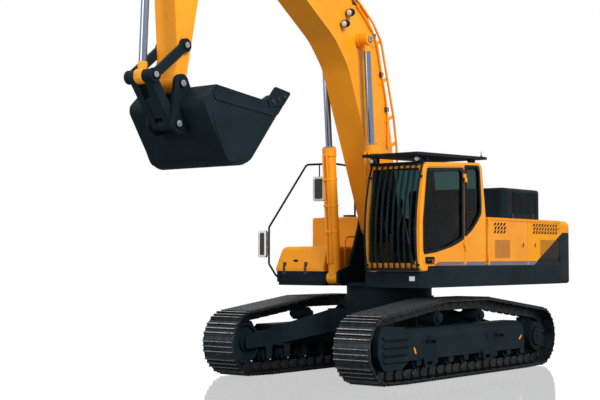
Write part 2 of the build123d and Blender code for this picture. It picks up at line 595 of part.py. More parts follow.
def cab_roof(x):
    """Height of the roof, which falls towards the front."""
    return CAB_TOP - ROOF_FALL * (x - ROOF_REAR) / (CAB_BROW - ROOF_REAR)


def cab_face(z):
    """Front of the cab at a height."""
    if z < CAB_WAIST:
        return CAB_FRONT + CAB_BULGE * (z - CAB_BOTTOM) / (CAB_WAIST - CAB_BOTTOM)
    return CAB_FRONT + CAB_BULGE - (CAB_BULGE + CAB_LEAN) * (z - CAB_WAIST) / (cab_roof(CAB_BROW) - CAB_WAIST)


WAIST_BEND = 3500         # radius of the front at its waist
CAB_PROFILE = (
    (CAB_FRONT, CAB_BOTTOM, 75), (cab_face(CAB_WAIST), CAB_WAIST, WAIST_BEND), (CAB_BROW, cab_roof(CAB_BROW), 110),
    (ROOF_REAR, CAB_TOP, 110), (CAB_REAR, BODY_TOP, 300), (CAB_REAR, CAB_BOTTOM, 75),
)
DOOR_REAR = 175           # rear edge of the door opening
DOOR_SILL = 1640
DOOR_POST = 56            # front and top edges of the opening, from the cab's outline
door_head = cab_roof(CAB_BROW) - DOOR_POST - 6
DOOR_OPENING = (
    (DOOR_REAR, DOOR_SILL, 60), (cab_face(DOOR_SILL) - DOOR_POST, DOOR_SILL, 90),
    (cab_face(CAB_WAIST) - DOOR_POST, CAB_WAIST, WAIST_BEND), (cab_face(door_head) - DOOR_POST, door_head, 80),
    (DOOR_REAR, cab_roof(DOOR_REAR) - DOOR_POST - 6, 70),
)
DOOR_FRAME = 60           # from the opening's edge to the door's glass
GLASS_LOW = 1808          # lower edge of the glass at the front, sweeping up to the rear
glass_head = door_head - DOOR_FRAME
DOOR_WINDOW = (
    (DOOR_REAR + DOOR_FRAME, GLASS_LOW + 225, 50), (700, GLASS_LOW + 72, 900),
    (cab_face(GLASS_LOW) - DOOR_POST - DOOR_FRAME, GLASS_LOW, 60),
    (cab_face(CAB_WAIST) - DOOR_POST - DOOR_FRAME, CAB_WAIST, WAIST_BEND),
    (cab_face(glass_head) - DOOR_POST - DOOR_FRAME, glass_head, 50),
    (DOOR_REAR + DOOR_FRAME, cab_roof(DOOR_REAR) - DOOR_POST - DOOR_FRAME, 50),
)
QUARTER_FRONT = DOOR_REAR - 50
QUARTER_WINDOW = (
    (QUARTER_FRONT, GLASS_LOW + 270, 40), (-70, GLASS_LOW + 392, 350), (-285, GLASS_LOW + 610, 160),
    (ROOF_REAR + 105, CAB_TOP - 66, 90), (QUARTER_FRONT, cab_roof(QUARTER_FRONT) - 66, 40),
)
RIGHT_WINDOW = (
    (-330, GLASS_LOW + 442, 80), (1210, GLASS_LOW + 212, 80), (CAB_BROW - 75, cab_roof(CAB_BROW) - 75, 80),
    (ROOF_REAR + 115, CAB_TOP - 75, 80),
)
FRONT_WINDOW_Z = (1660, cab_roof(CAB_BROW) - 75)
REAR_WINDOW_Z = (2440, CAB_TOP - 100)
FRONT_INSET = 70          # from the cab's sides to the windscreen and to the rear window
REAR_INSET = 90
PANE = 10
PANE_DEPTH = 20           # of the panes in the cab's walls
DOOR_AXIS = (DOOR_REAR - 8, CAB_OUTER + 16.5)
DOOR_HINGES = (1850, 2850)
HINGE_LENGTH = 60
with BuildPart() as cab:
    plate(side_plane(CAB_OUTER), CAB_PROFILE, CAB_OUTER - CAB_RIGHT)
    fillet(cab.edges().group_by(Axis.Y)[-1] + cab.edges().group_by(Axis.Y)[0], 28)
    with BuildSketch(side_plane(CAB_OUTER - CAB_WALL)) as room:
        outline(CAB_PROFILE, -CAB_WALL)
    extrude(room.sketch, amount=CAB_OUTER - CAB_RIGHT - 2 * CAB_WALL, mode=Mode.SUBTRACT)
    plate(side_plane(CAB_OUTER + 1), DOOR_OPENING, CAB_WALL + 2, mode=Mode.SUBTRACT)
    plate(side_plane(CAB_OUTER + 1), QUARTER_WINDOW, CAB_WALL + 2, mode=Mode.SUBTRACT)
    plate(side_plane(CAB_RIGHT + CAB_WALL + 1), RIGHT_WINDOW, CAB_WALL + 2, mode=Mode.SUBTRACT)
    block((CAB_BROW - 140, CAB_FRONT + 20), (CAB_RIGHT + FRONT_INSET, CAB_OUTER - FRONT_INSET), FRONT_WINDOW_Z, mode=Mode.SUBTRACT)
    block((CAB_REAR - 10, CAB_REAR + 260), (CAB_RIGHT + REAR_INSET, CAB_OUTER - REAR_INSET), REAR_WINDOW_Z, mode=Mode.SUBTRACT)
    for z in DOOR_HINGES:
        disc(plan_plane(z), DOOR_AXIS, 15, HINGE_LENGTH)
        block((DOOR_AXIS[0] - 40, DOOR_AXIS[0] - 8), (CAB_OUTER - 5, DOOR_AXIS[1] + 8), (z, z + HINGE_LENGTH))
save(cab, "cab_shell")

DOOR_EDGE = 6
with BuildPart() as cab_door:
    with BuildSketch(side_plane(CAB_OUTER)) as leaf:
        outline(DOOR_OPENING, -DOOR_EDGE)
    extrude(leaf.sketch, amount=CAB_WALL - 10)
    plate(side_plane(CAB_OUTER + 1), DOOR_WINDOW, CAB_WALL, mode=Mode.SUBTRACT)
    plate(side_plane(CAB_OUTER + 1), ((1012, 1662, 20), (1225, 1662, 30), (1235, 1735, 30), (1000, 1735, 20)), 28,
          mode=Mode.SUBTRACT)
    for hinge_z in DOOR_HINGES:
        z = hinge_z + HINGE_LENGTH + SEAT_GAP
        disc(plan_plane(z), DOOR_AXIS, 15, HINGE_LENGTH)
        block((DOOR_AXIS[0] + 8, DOOR_AXIS[0] + 50), (CAB_OUTER + 1, DOOR_AXIS[1] + 8), (z, z + HINGE_LENGTH))
        block((DOOR_REAR + DOOR_EDGE + 2, DOOR_AXIS[0] + 50), (CAB_OUTER - 5, CAB_OUTER + 2), (z, z + HINGE_LENGTH))
save(cab_door, "cab_door")

with BuildPart() as door_glass:
    with BuildSketch(side_plane(CAB_OUTER - PANE_DEPTH)) as pane:
        outline(DOOR_WINDOW, -SEAT_GAP)
    extrude(pane.sketch, amount=PANE)
save(door_glass, "door_glass")

with BuildPart() as glass:
    for y, window in ((CAB_OUTER - PANE_DEPTH, QUARTER_WINDOW), (CAB_RIGHT + PANE_DEPTH + PANE, RIGHT_WINDOW)):
        with BuildSketch(side_plane(y)) as pane:
            outline(window, -SEAT_GAP)
        extrude(pane.sketch, amount=PANE)
    for ahead, (z0, z1), inset in ((1, FRONT_WINDOW_Z, FRONT_INSET), (-1, REAR_WINDOW_Z, REAR_INSET)):
        width = CAB_OUTER - CAB_RIGHT - 2 * inset - 2 * SEAT_GAP
        with BuildSketch(side_plane(CAB_OUTER - inset - SEAT_GAP)) as pane:
            outline(CAB_PROFILE, -PANE_DEPTH)
            outline(CAB_PROFILE, -PANE_DEPTH - PANE, mode=Mode.SUBTRACT)
            with Locations(((CAB_FRONT + CAB_REAR) / 2 + ahead * 700, (z0 + z1) / 2)):
                Rectangle(900, z1 - z0 - 2 * SEAT_GAP, mode=Mode.INTERSECT)
        extrude(pane.sketch, amount=width)
save(glass, "cab_glass")

# Front guard of bowed upright bars between two rails, and the roof guard
GUARD_FOOT = (CAB_FRONT + 43, 1550)   # outer face of the bars at their ends and at their furthest
GUARD_BOW = (CAB_FRONT + 88, CAB_WAIST - 50)
GUARD_HEAD = (CAB_BROW + 20, cab_roof(CAB_BROW) + 15)
GUARD_BARS = 10
GUARD_DEPTH = 28
GUARD_Y = (CAB_RIGHT + 60, CAB_OUTER - 30)


def guard_bar(y, width, low, high):
    """The stretch between two heights of a bowed bar that is width wide and centred on y."""
    with BuildSketch(side_plane(y + width / 2)) as face:
        with BuildLine():
            ThreePointArc(GUARD_FOOT, GUARD_BOW, GUARD_HEAD)
            Line(GUARD_HEAD, (GUARD_HEAD[0] - GUARD_DEPTH, GUARD_HEAD[1]))
            ThreePointArc((GUARD_HEAD[0] - GUARD_DEPTH, GUARD_HEAD[1]), (GUARD_BOW[0] - GUARD_DEPTH, GUARD_BOW[1]),
                          (GUARD_FOOT[0] - GUARD_DEPTH, GUARD_FOOT[1]))
            Line((GUARD_FOOT[0] - GUARD_DEPTH, GUARD_FOOT[1]), GUARD_FOOT)
        make_face()
        with Locations((CAB_FRONT, (low + high) / 2)):
            Rectangle(800, high - low, mode=Mode.INTERSECT)
    extrude(face.sketch, amount=width)


with BuildPart() as front_guard:
    for number in range(GUARD_BARS):
        y = GUARD_Y[0] + number * (GUARD_Y[1] - GUARD_Y[0]) / (GUARD_BARS - 1)
        guard_bar(y, 16, GUARD_FOOT[1], GUARD_HEAD[1])
    for low, high in ((GUARD_FOOT[1], GUARD_FOOT[1] + 40), (GUARD_HEAD[1] - 40, GUARD_HEAD[1])):
        guard_bar(sum(GUARD_Y) / 2, GUARD_Y[1] - GUARD_Y[0] + 40, low, high)
    for y in GUARD_Y:
        for z in (1620, CAB_WAIST + 620):
            face_x = max(cab_face(z), cab_face(z + 30))
            block((face_x + SEAT_GAP, face_x + 60), (y - 15, y + 15), (z, z + 30))
save(front_guard, "cab_front_guard")

ROOF_GUARD_X = (-490, 1425)
ROOF_GUARD_REAR = CAB_TOP + 52        # underside at its rear end; it falls less than the roof does
ROOF_GUARD_FALL = 42
ROOF_GUARD_THICK = 42
POST_RADIUS = 22
with BuildPart() as roof_guard:
    rear, ahead = ROOF_GUARD_X
    low = ROOF_GUARD_REAR - ROOF_GUARD_FALL
    plate(side_plane(CAB_OUTER), ((rear, ROOF_GUARD_REAR, 0), (ahead, low, 0), (ahead, low + ROOF_GUARD_THICK, 0),
                                  (rear, ROOF_GUARD_REAR + ROOF_GUARD_THICK, 0)), CAB_OUTER - CAB_RIGHT - 5)
    for x in (-200, 1100):
        for y in (CAB_RIGHT + 60, CAB_OUTER - 60):
            foot = cab_roof(x - POST_RADIUS) + SEAT_GAP
            disc(plan_plane(foot), (x, y), POST_RADIUS, low + ROOF_GUARD_THICK / 2 - foot)
save(roof_guard, "cab_roof_guard")

with BuildPart() as seat:
    block((80, 620), (CAB_RIGHT + 220, CAB_OUTER - 220), (1980, 2100))
    plate(side_plane(CAB_OUTER - 240), ((80, 2090, 0), (220, 2090, 0), (110, 2760, 50), (-10, 2760, 50)), 480)
    block((160, 540), (CAB_RIGHT + 280, CAB_OUTER - 280), (CAB_BOTTOM + CAB_WALL + SEAT_GAP, 1985))
save(seat, "driver_seat")

with BuildPart() as console:
    for y in (CAB_RIGHT + 140, CAB_OUTER - 140):
        block((200, 760), (y - 65, y + 65), (CAB_BOTTOM + CAB_WALL + SEAT_GAP, 2150))
        disc(plan_plane(2145), (680, y), 18, 200)
save(console, "control_consoles")

# Mirror stay on the right, its two mirrors, and the handrail beside the tool box
STAY_TOP = 3184
UPPER_MIRROR = (802, -747, 2800)      # middle of the mirror, x, y, z
LOWER_MIRROR = (1235, -1525, 1950)
MIRROR_DEPTH = 40
with BuildPart() as stay:
    tube(((TOOL_BOX_X[1] + SEAT_GAP, -1400, 1450), (1060, -1400, 1450), (1156, -1470, 1640), (1156, -1470, 2210),
          (980, -860, STAY_TOP - 14), (600, -620, STAY_TOP + 16), (20, -640, STAY_TOP), (20, -640, BODY_TOP + 35 + SEAT_GAP)),
         [40, 60, 60, 60, 60, 80], 16)
    block((1156, LOWER_MIRROR[0] - MIRROR_DEPTH / 2 - SEAT_GAP), (-1482, -1458), (1930, 1970))
    hanger = UPPER_MIRROR[2] + 190 + SEAT_GAP
    disc(plan_plane(hanger), UPPER_MIRROR[:2], 10, STAY_TOP - hanger)
save(stay, "mirror_stay")

with BuildPart() as mirrors:
    for (x, y, z), width, height in ((LOWER_MIRROR, 160, 420), (UPPER_MIRROR, 220, 380)):
        with BuildSketch(Plane(origin=(SWING_X + x - MIRROR_DEPTH / 2, y, z), x_dir=(0, 1, 0), z_dir=(1, 0, 0))) as face:
            RectangleRounded(width, height, 40)
        extrude(face.sketch, amount=MIRROR_DEPTH)
save(mirrors, "mirrors")

with BuildPart() as handrail:
    tube(((TANK_X[1] + SEAT_GAP, -525, 2065), (440, -525, 2065), (440, -525, DECK_TOP + SEAT_GAP)), [90], 12)
save(handrail, "handrail")


# Hydraulic cylinders: barrel and rod share a line from one pin to the other
EYE_RADIUS = 92
EYE_HALF = 62
PIN_CAP = 14              # height of a pin's head over the link beside it


def cylinder(names, pin, end, travel_in, barrel_radius, rod_radius, rows, pin_radius):
    """Barrel and rod from pin to end at rest; travel_in is how far the rod can go in."""
    angle = degrees(atan2(end[1] - pin[1], end[0] - pin[0]))
    length = hypot(end[0] - pin[0], end[1] - pin[1])
    gland = length - travel_in - 190
    with BuildPart() as barrel:
        for y in rows:
            plane = link_plane(pin, angle, y + barrel_radius + 1)
            disc(plane, (0, 0), EYE_RADIUS, 2 * barrel_radius + 2)
            across = Plane(origin=link_plane(pin, angle, y).origin, z_dir=link_plane(pin, angle, y).x_dir)
            disc(across.offset(40), (0, 0), barrel_radius, gland - 40)
            disc(across.offset(gland - 130), (0, 0), barrel_radius + 12, 130)
            disc(plane, (0, 0), pin_radius + PIN_GAP, 2 * barrel_radius + 2, mode=Mode.SUBTRACT)
            disc(across.offset(100), (0, 0), rod_radius + PIN_GAP, gland, mode=Mode.SUBTRACT)
    save(barrel, names[0])
    with BuildPart() as rod:
        for y in rows:
            plane = link_plane(pin, angle, y + EYE_HALF)
            across = Plane(origin=link_plane(pin, angle, y).origin, z_dir=link_plane(pin, angle, y).x_dir)
            disc(across.offset(105 + travel_in), (0, 0), rod_radius, length - travel_in - 145)
            disc(plane, (length, 0), EYE_RADIUS, 2 * EYE_HALF)
            if y != 0:
                cap_y = y + EYE_HALF + PIN_CAP if y > 0 else y - EYE_HALF
                disc(link_plane(pin, angle, cap_y), (length, 0), pin_radius + 8, PIN_CAP)
    save(rod, names[1])
    return angle, length


LIFT_ROD_PLACE = from_link(BOOM_FOOT, BOOM_ANGLE, LIFT_ROD_PIN)
ARM_BARREL_PLACE = from_link(BOOM_FOOT, BOOM_ANGLE, ARM_BARREL_PIN)
ARM_ROD_PLACE = from_link(BOOM_TIP, ARM_ANGLE, TAIL_PIN)
BUCKET_BARREL_PLACE = from_link(BOOM_TIP, ARM_ANGLE, BUCKET_BARREL_PIN)
IDLER_PLACE = from_link(BOOM_TIP, ARM_ANGLE, IDLER_PIN)
LINK_PLACE = from_link(BOOM_TIP, ARM_ANGLE, LINK_PIN)
EAR_PLACE = from_link(BOOM_TIP, ARM_ANGLE, EAR_PIN)
PIN_RADIUS = 48
cylinder(("boom_cylinder_barrels", "boom_cylinder_rods"), LIFT_BARREL_PIN, LIFT_ROD_PLACE, 1370, LIFT_BARREL, LIFT_ROD,
         (LIFT_SPACING / 2, -LIFT_SPACING / 2), PIN_RADIUS)
cylinder(("arm_cylinder_barrel", "arm_cylinder_rod"), ARM_BARREL_PLACE, ARM_ROD_PLACE, 1500, ARM_BARREL, ARM_ROD, (0,),
         PIN_RADIUS)
cylinder(("bucket_cylinder_barrel", "bucket_cylinder_rod"), BUCKET_BARREL_PLACE, LINK_PLACE, 1100, BUCKET_BARREL, BUCKET_ROD, (0,),
         PIN_RADIUS)

# Boom: a box beam bent at the cylinders' pin, with a fork at its tip
BOOM_OUTLINE = (
    (20, -184, 0), (2480, 682, 700), (2960, 690, 900), (6480, -174, 0), (6560, 160, 0), (5000, 570, 900), (3080, 1600, 900),
    (2300, 1560, 700), (1080, 905, 1500), (-110, 150, 0),
)
BOOM_SLOT = 5750          # where the fork for the arm begins
half = BOOM_WIDTH / 2
fork = ARM_WIDTH / 2 + SIDE_GAP
with BuildPart() as boom:
    plane = link_plane(BOOM_FOOT, BOOM_ANGLE, half)
    plate(plane, BOOM_OUTLINE, BOOM_WIDTH)
    disc(plane, (0, 0), 185, BOOM_WIDTH)
    disc(plane, (BOOM_LENGTH, 0), 175, BOOM_WIDTH)
    slot = ((BOOM_SLOT, -400, 0), (6800, -400, 0), (6800, 500, 0), (BOOM_SLOT, 500, 0))
    plate(link_plane(BOOM_FOOT, BOOM_ANGLE, fork), slot, 2 * fork, mode=Mode.SUBTRACT)
    disc(link_plane(BOOM_FOOT, BOOM_ANGLE, half + 25), (BOOM_LENGTH, 0), 55, BOOM_WIDTH + 50)
    disc(link_plane(BOOM_FOOT, BOOM_ANGLE, half + 5), (0, 0), 58 + PIN_GAP, BOOM_WIDTH + 10, mode=Mode.SUBTRACT)
    reach = LIFT_SPACING / 2 - EYE_HALF - SIDE_GAP
    disc(link_plane(BOOM_FOOT, BOOM_ANGLE, reach), LIFT_ROD_PIN, 100, 2 * reach)
    lug = ((ARM_BARREL_PIN[0] - 330, 1300, 0), (ARM_BARREL_PIN[0] + 330, 1150, 0), (ARM_BARREL_PIN[0] + 100, 1670, 100),
           (ARM_BARREL_PIN[0] - 100, 1690, 100))
    reach = ARM_BARREL + SIDE_GAP + 35
    for lug_y in (reach, 35 - reach):
        plate(link_plane(BOOM_FOOT, BOOM_ANGLE, lug_y), lug, 35)
    disc(link_plane(BOOM_FOOT, BOOM_ANGLE, reach + 10), ARM_BARREL_PIN, PIN_RADIUS, 2 * reach + 20)
save(boom, "boom")

# Pipes along the boom's upper edge on clamps, and two work lamps on its left side
PIPE_Y = BOOM_WIDTH / 2 + 22
PIPE_RADIUS = 18
CLAMPS = ((2273, 1600), (1750, 1350), (1225, 1100), (878, 885))   # along and above the boom's line, at the pipe
with BuildPart() as pipes:
    upper_run = ((3400, 1400), (3000, 1530), (2600, 1615))
    route = upper_run + (CLAMPS[0], CLAMPS[2], CLAMPS[3], (430, 545))
    with BuildLine(link_plane(BOOM_FOOT, BOOM_ANGLE, PIPE_Y)) as path:
        FilletPolyline(*route, radius=[300, 300, 300, 400, 400])
    with BuildSketch(Plane(origin=path.line @ 0, z_dir=path.line % 0)) as section:
        Circle(PIPE_RADIUS)
    sweep(section.sketch, path=path.line)
    for along, above in CLAMPS + ((3000, 1520),):
        clamp = ((along + 60, above - 230, 20), (along + 110, above - 200, 20), (along + 25, above + 22, 15), (along - 25, above + 22, 15))
        plate(link_plane(BOOM_FOOT, BOOM_ANGLE, BOOM_WIDTH / 2 + SEAT_GAP + 12), clamp, 12)
save(pipes, "boom_pipes")

LAMPS = ((3070, 1185), (3017, 971))   # along and above the boom's line
with BuildPart() as lamps:
    for place in LAMPS:
        x, z = from_link(BOOM_FOOT, BOOM_ANGLE, place)
        seat_y = BOOM_WIDTH / 2 + SEAT_GAP
        disc(side_plane(seat_y + 12), (x, z), 38, 12)
        disc(side_plane(seat_y + 78), (x, z), 16, 70)
        barrel = Plane(origin=(SWING_X + x - 40, seat_y + 78, z + 8), z_dir=(cos(radians(12)), 0, -sin(radians(12))))
        disc(barrel, (0, 0), 42, 40)
        disc(barrel.offset(40), (0, 0), 58, 55)
save(lamps, "boom_lamps")

# Arm
ARM_OUTLINE = (
    (-1040, 90, 80), (-200, -320, 300), (300, -330, 300), (ARM_LENGTH - 1100, -238, 0), (ARM_LENGTH - 30, -112, 0),
    (ARM_LENGTH + 10, 112, 0), (ARM_LENGTH - 330, 60, 0), (ARM_LENGTH - 1090, 180, 0), (350, 455, 400), (-150, 475, 300),
    (-1000, 320, 100),
)
TAIL_SLOT = -560          # where the slot for the arm cylinder's rod ends
half = ARM_WIDTH / 2
rod_slot = EYE_HALF + SIDE_GAP
with BuildPart() as arm:
    plane = link_plane(BOOM_TIP, ARM_ANGLE, half)
    plate(plane, ARM_OUTLINE, ARM_WIDTH)
    disc(plane, (0, 0), 165, ARM_WIDTH)
    disc(plane, TAIL_PIN, 130, ARM_WIDTH)
    disc(plane, (ARM_LENGTH, 0), 116, ARM_WIDTH)
    slot = ((-1300, -300, 0), (TAIL_SLOT, -300, 0), (TAIL_SLOT, 600, 0), (-1300, 600, 0))
    disc(link_plane(BOOM_TIP, ARM_ANGLE, half + PIN_CAP), TAIL_PIN, PIN_RADIUS, ARM_WIDTH + 2 * PIN_CAP)
    plate(link_plane(BOOM_TIP, ARM_ANGLE, rod_slot), slot, 2 * rod_slot, mode=Mode.SUBTRACT)
    disc(plane, (0, 0), 55 + PIN_GAP, ARM_WIDTH, mode=Mode.SUBTRACT)
    disc(plane, (ARM_LENGTH, 0), PIN_RADIUS + PIN_GAP, ARM_WIDTH, mode=Mode.SUBTRACT)
    lug = ((-200, 400, 0), (620, 380, 0), (BUCKET_BARREL_PIN[0] + 70, 700, 100), (BUCKET_BARREL_PIN[0] - 100, 700, 100))
    reach = BUCKET_BARREL + SIDE_GAP + 35
    for lug_y in (reach, 35 - reach):
        plate(link_plane(BOOM_TIP, ARM_ANGLE, lug_y), lug, 35)
    disc(link_plane(BOOM_TIP, ARM_ANGLE, reach + 10), BUCKET_BARREL_PIN, PIN_RADIUS, 2 * reach + 20)
    reach = half + SIDE_GAP + LINK_PLATE + 14
    disc(link_plane(BOOM_TIP, ARM_ANGLE, reach), IDLER_PIN, PIN_RADIUS, 2 * reach)
save(arm, "arm")


def bar(plane, length, end_radius, waist, depth):
    """A link plate between two round ends, its first pin at the plane's origin."""
    with BuildSketch(plane) as face:
        Circle(end_radius)
        with Locations((length, 0)):
            Circle(end_radius)
        with Locations((length / 2, 0)):
            Rectangle(length, waist)
    extrude(face.sketch, amount=depth)


LINK_END_RADIUS = 70      # of the bucket link at the bucket
link_y = half + SIDE_GAP
idler_angle = degrees(atan2(LINK_PLACE[1] - IDLER_PLACE[1], LINK_PLACE[0] - IDLER_PLACE[0]))
idler_length = hypot(LINK_PLACE[0] - IDLER_PLACE[0], LINK_PLACE[1] - IDLER_PLACE[1])
with BuildPart() as idlers:
    for y in (link_y + LINK_PLATE, -link_y):
        bar(link_plane(IDLER_PLACE, idler_angle, y), idler_length, 88, 120, LINK_PLATE)
    reach = link_y + LINK_PLATE + PIN_CAP
    for y in (reach, -rod_slot):
        disc(link_plane(LINK_PLACE, 0, y), (0, 0), PIN_RADIUS, reach - rod_slot)
    disc(link_plane(IDLER_PLACE, 0, 400), (0, 0), PIN_RADIUS + PIN_GAP, 800, mode=Mode.SUBTRACT)
save(idlers, "idler_links")

link_angle = degrees(atan2(EAR_PLACE[1] - LINK_PLACE[1], EAR_PLACE[0] - LINK_PLACE[0]))
link_length = hypot(EAR_PLACE[0] - LINK_PLACE[0], EAR_PLACE[1] - LINK_PLACE[1])
with BuildPart() as bucket_link:
    for y in (half, -rod_slot):
        bar(link_plane(LINK_PLACE, link_angle, y), link_length, LINK_END_RADIUS, 130, half - rod_slot)
        disc(link_plane(LINK_PLACE, link_angle, y), (0, 0), 82, half - rod_slot)
    with BuildSketch(link_plane(LINK_PLACE, link_angle, half)) as web:
        with Locations((link_length * 0.62, 0)):
            Rectangle(link_length * 0.4, 110)
    extrude(web.sketch, amount=ARM_WIDTH)
    disc(link_plane(EAR_PLACE, 0, half), (0, 0), LINK_END_RADIUS, ARM_WIDTH)
    disc(link_plane(LINK_PLACE, 0, half + 1), (0, 0), PIN_RADIUS + PIN_GAP, ARM_WIDTH + 2, mode=Mode.SUBTRACT)
save(bucket_link, "bucket_link")

# Bucket: rolled shell, side plates, lip with teeth, side cutters and ears
BUCKET_WALL = 30
BUCKET_OUTLINE = ((-160, -30, 0), (80, -262, 120), (-440, -1085, 300), (-800, -940, 300), (-1440, -180, 0))
TEETH = 5
half_bucket = BUCKET_WIDTH / 2
with BuildPart() as bucket:
    plate(link_plane(BUCKET_PIN, 0, half_bucket), BUCKET_OUTLINE, BUCKET_WIDTH)
    with BuildSketch(link_plane(BUCKET_PIN, 0, half_bucket - BUCKET_WALL)) as cavity:
        with BuildLine():
            FilletPolyline(*[(a, b) for a, b, r in BUCKET_OUTLINE], radius=[r for a, b, r in BUCKET_OUTLINE], close=True)
        make_face()
        offset(amount=-BUCKET_WALL)
        Polygon((-230, -80), (-1380, -210), (-1400, 0), (-220, 50), align=None)
    extrude(cavity.sketch, amount=BUCKET_WIDTH - 2 * BUCKET_WALL, mode=Mode.SUBTRACT)
    tooth = ((-1370, -300, 0), (-1330, -230, 0), (-1480, -60, 0), (-1600, 10, 0), (-1530, -110, 0))
    for number in range(TEETH):
        y = (number - (TEETH - 1) / 2) * (BUCKET_WIDTH - 130) / (TEETH - 1)
        plate(link_plane(BUCKET_PIN, 0, y + 50), tooth, 100)
    cutter = ((-1274, 55, 20), (-1590, 5, 20), (-1440, -170, 20), (-1150, -220, 20), (-1120, -120, 20))
    for y in (half_bucket + 28, -half_bucket):
        plate(link_plane(BUCKET_PIN, 0, y), cutter, 28)
    band = ((-175, -38, 0), (-1290, -165, 0), (-1240, -330, 60), (-75, -215, 60))
    for y in (half_bucket + 14, -half_bucket):
        plate(link_plane(BUCKET_PIN, 0, y), band, 14)
    ear = ((-155, -45, 0), (-70, 125, 110), (110, 110, 110), (150, -220, 60), (175, -560, 110), (40, -640, 60),
           (-145, -600, 0), (55, -275, 0))
    for y in (link_y + LINK_PLATE, -link_y):
        plate(link_plane(BUCKET_PIN, 0, y), ear, LINK_PLATE)
    reach = link_y + LINK_PLATE + 20
    disc(link_plane(BUCKET_PIN, 0, reach), (0, 0), PIN_RADIUS, 2 * reach)
    for y in (reach, -link_y):
        disc(link_plane(EAR_PLACE, 0, y), (0, 0), PIN_RADIUS, reach - link_y)
save(bucket, "bucket")

for name, place in (("boom foot", BOOM_FOOT), ("boom tip", BOOM_TIP), ("bucket pin", BUCKET_PIN),
                    ("lift barrel pin", LIFT_BARREL_PIN), ("lift rod pin", LIFT_ROD_PLACE),
                    ("arm barrel pin", ARM_BARREL_PLACE), ("arm rod pin", ARM_ROD_PLACE),
                    ("bucket barrel pin", BUCKET_BARREL_PLACE), ("idler pin", IDLER_PLACE),
                    ("link pin", LINK_PLACE), ("ear pin", EAR_PLACE)):
    print(name, round(SWING_X + place[0], 2), round(place[1], 2))
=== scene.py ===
import math

import bmesh
import bpy
import numpy as np
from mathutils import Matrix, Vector


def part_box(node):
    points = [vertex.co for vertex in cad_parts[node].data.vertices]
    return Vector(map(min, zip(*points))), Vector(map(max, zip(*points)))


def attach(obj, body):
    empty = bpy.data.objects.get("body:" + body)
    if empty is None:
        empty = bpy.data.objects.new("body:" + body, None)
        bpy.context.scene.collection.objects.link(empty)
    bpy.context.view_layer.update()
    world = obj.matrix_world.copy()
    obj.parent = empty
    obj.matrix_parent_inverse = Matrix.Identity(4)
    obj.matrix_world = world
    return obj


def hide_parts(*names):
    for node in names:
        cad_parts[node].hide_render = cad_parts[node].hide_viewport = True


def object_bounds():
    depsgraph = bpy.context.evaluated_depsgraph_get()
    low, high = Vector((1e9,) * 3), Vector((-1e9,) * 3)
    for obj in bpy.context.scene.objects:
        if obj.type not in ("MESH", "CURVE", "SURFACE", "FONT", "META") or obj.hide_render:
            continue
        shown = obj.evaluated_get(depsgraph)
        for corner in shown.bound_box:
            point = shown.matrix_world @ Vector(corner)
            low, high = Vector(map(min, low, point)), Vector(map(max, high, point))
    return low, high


# Crawler excavator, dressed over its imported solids. Metres, +X forward, +Y the driver's left, +Z up.

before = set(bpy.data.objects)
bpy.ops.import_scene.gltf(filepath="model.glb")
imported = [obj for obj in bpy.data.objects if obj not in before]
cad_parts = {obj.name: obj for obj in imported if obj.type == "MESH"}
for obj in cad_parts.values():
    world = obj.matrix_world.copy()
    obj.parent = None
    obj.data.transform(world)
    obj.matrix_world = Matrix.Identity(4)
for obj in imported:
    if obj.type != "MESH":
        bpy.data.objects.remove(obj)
cad_low, cad_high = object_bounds()

SWING_X = -0.930          # swing centre, from which every shape below is measured


# Camera at the photograph's viewing angle

CAMERA_PLACE = (14.993, 10.969, 1.729)
CAMERA_TURN = 0.675       # radians from -X towards -Y
CAMERA_RISE = 0.047       # radians above level
LENS = 74.22

camera_data = bpy.data.cameras.new("camera")
camera_data.lens = LENS
camera_data.sensor_width = 36
camera_data.clip_end = 200
camera = bpy.data.objects.new("camera", camera_data)
bpy.context.scene.collection.objects.link(camera)
camera.location = CAMERA_PLACE
aim = Vector((-math.cos(CAMERA_TURN) * math.cos(CAMERA_RISE), -math.sin(CAMERA_TURN) * math.cos(CAMERA_RISE),
              math.sin(CAMERA_RISE)))
camera.rotation_euler = aim.to_track_quat("-Z", "Y").to_euler()
bpy.context.scene.camera = camera
bpy.context.scene.view_settings.view_transform = "Standard"


# Paints and finishes

def new_finish(name, colour, roughness=0.5, metallic=0.0):
    """A material with one principled shader; returns the material, its nodes and links, and the shader."""
    material = bpy.data.materials.new(name)
    material.use_nodes = True
    nodes, links = material.node_tree.nodes, material.node_tree.links
    shader = nodes["Principled BSDF"]
    shader.inputs["Base Color"].default_value = (*colour, 1)
    shader.inputs["Roughness"].default_value = roughness
    shader.inputs["Metallic"].default_value = metallic
    return material, nodes, links, shader


def noise(nodes, links, scale, detail=4.0, stretch=(1, 1, 1)):
    """Noise over the object's own coordinates, in features per metre; returns its factor socket."""
    place = nodes.new("ShaderNodeTexCoord")
    turn = nodes.new("ShaderNodeMapping")
    turn.inputs["Scale"].default_value = stretch
    texture = nodes.new("ShaderNodeTexNoise")
    texture.inputs["Scale"].default_value = scale
    texture.inputs["Detail"].default_value = detail
    links.new(place.outputs["Object"], turn.inputs["Vector"])
    links.new(turn.outputs["Vector"], texture.inputs["Vector"])
    return texture.outputs["Fac"]


def ramp(nodes, links, source, stops):
    """Colour ramp from a factor: stops are (position, colour)."""
    band = nodes.new("ShaderNodeValToRGB")
    while len(band.color_ramp.elements) < len(stops):
        band.color_ramp.elements.new(0.5)
    for element, (position, colour) in zip(band.color_ramp.elements, stops):
        element.position = position
        element.color = (*colour, 1)
    links.new(source, band.inputs["Fac"])
    return band.outputs["Color"]


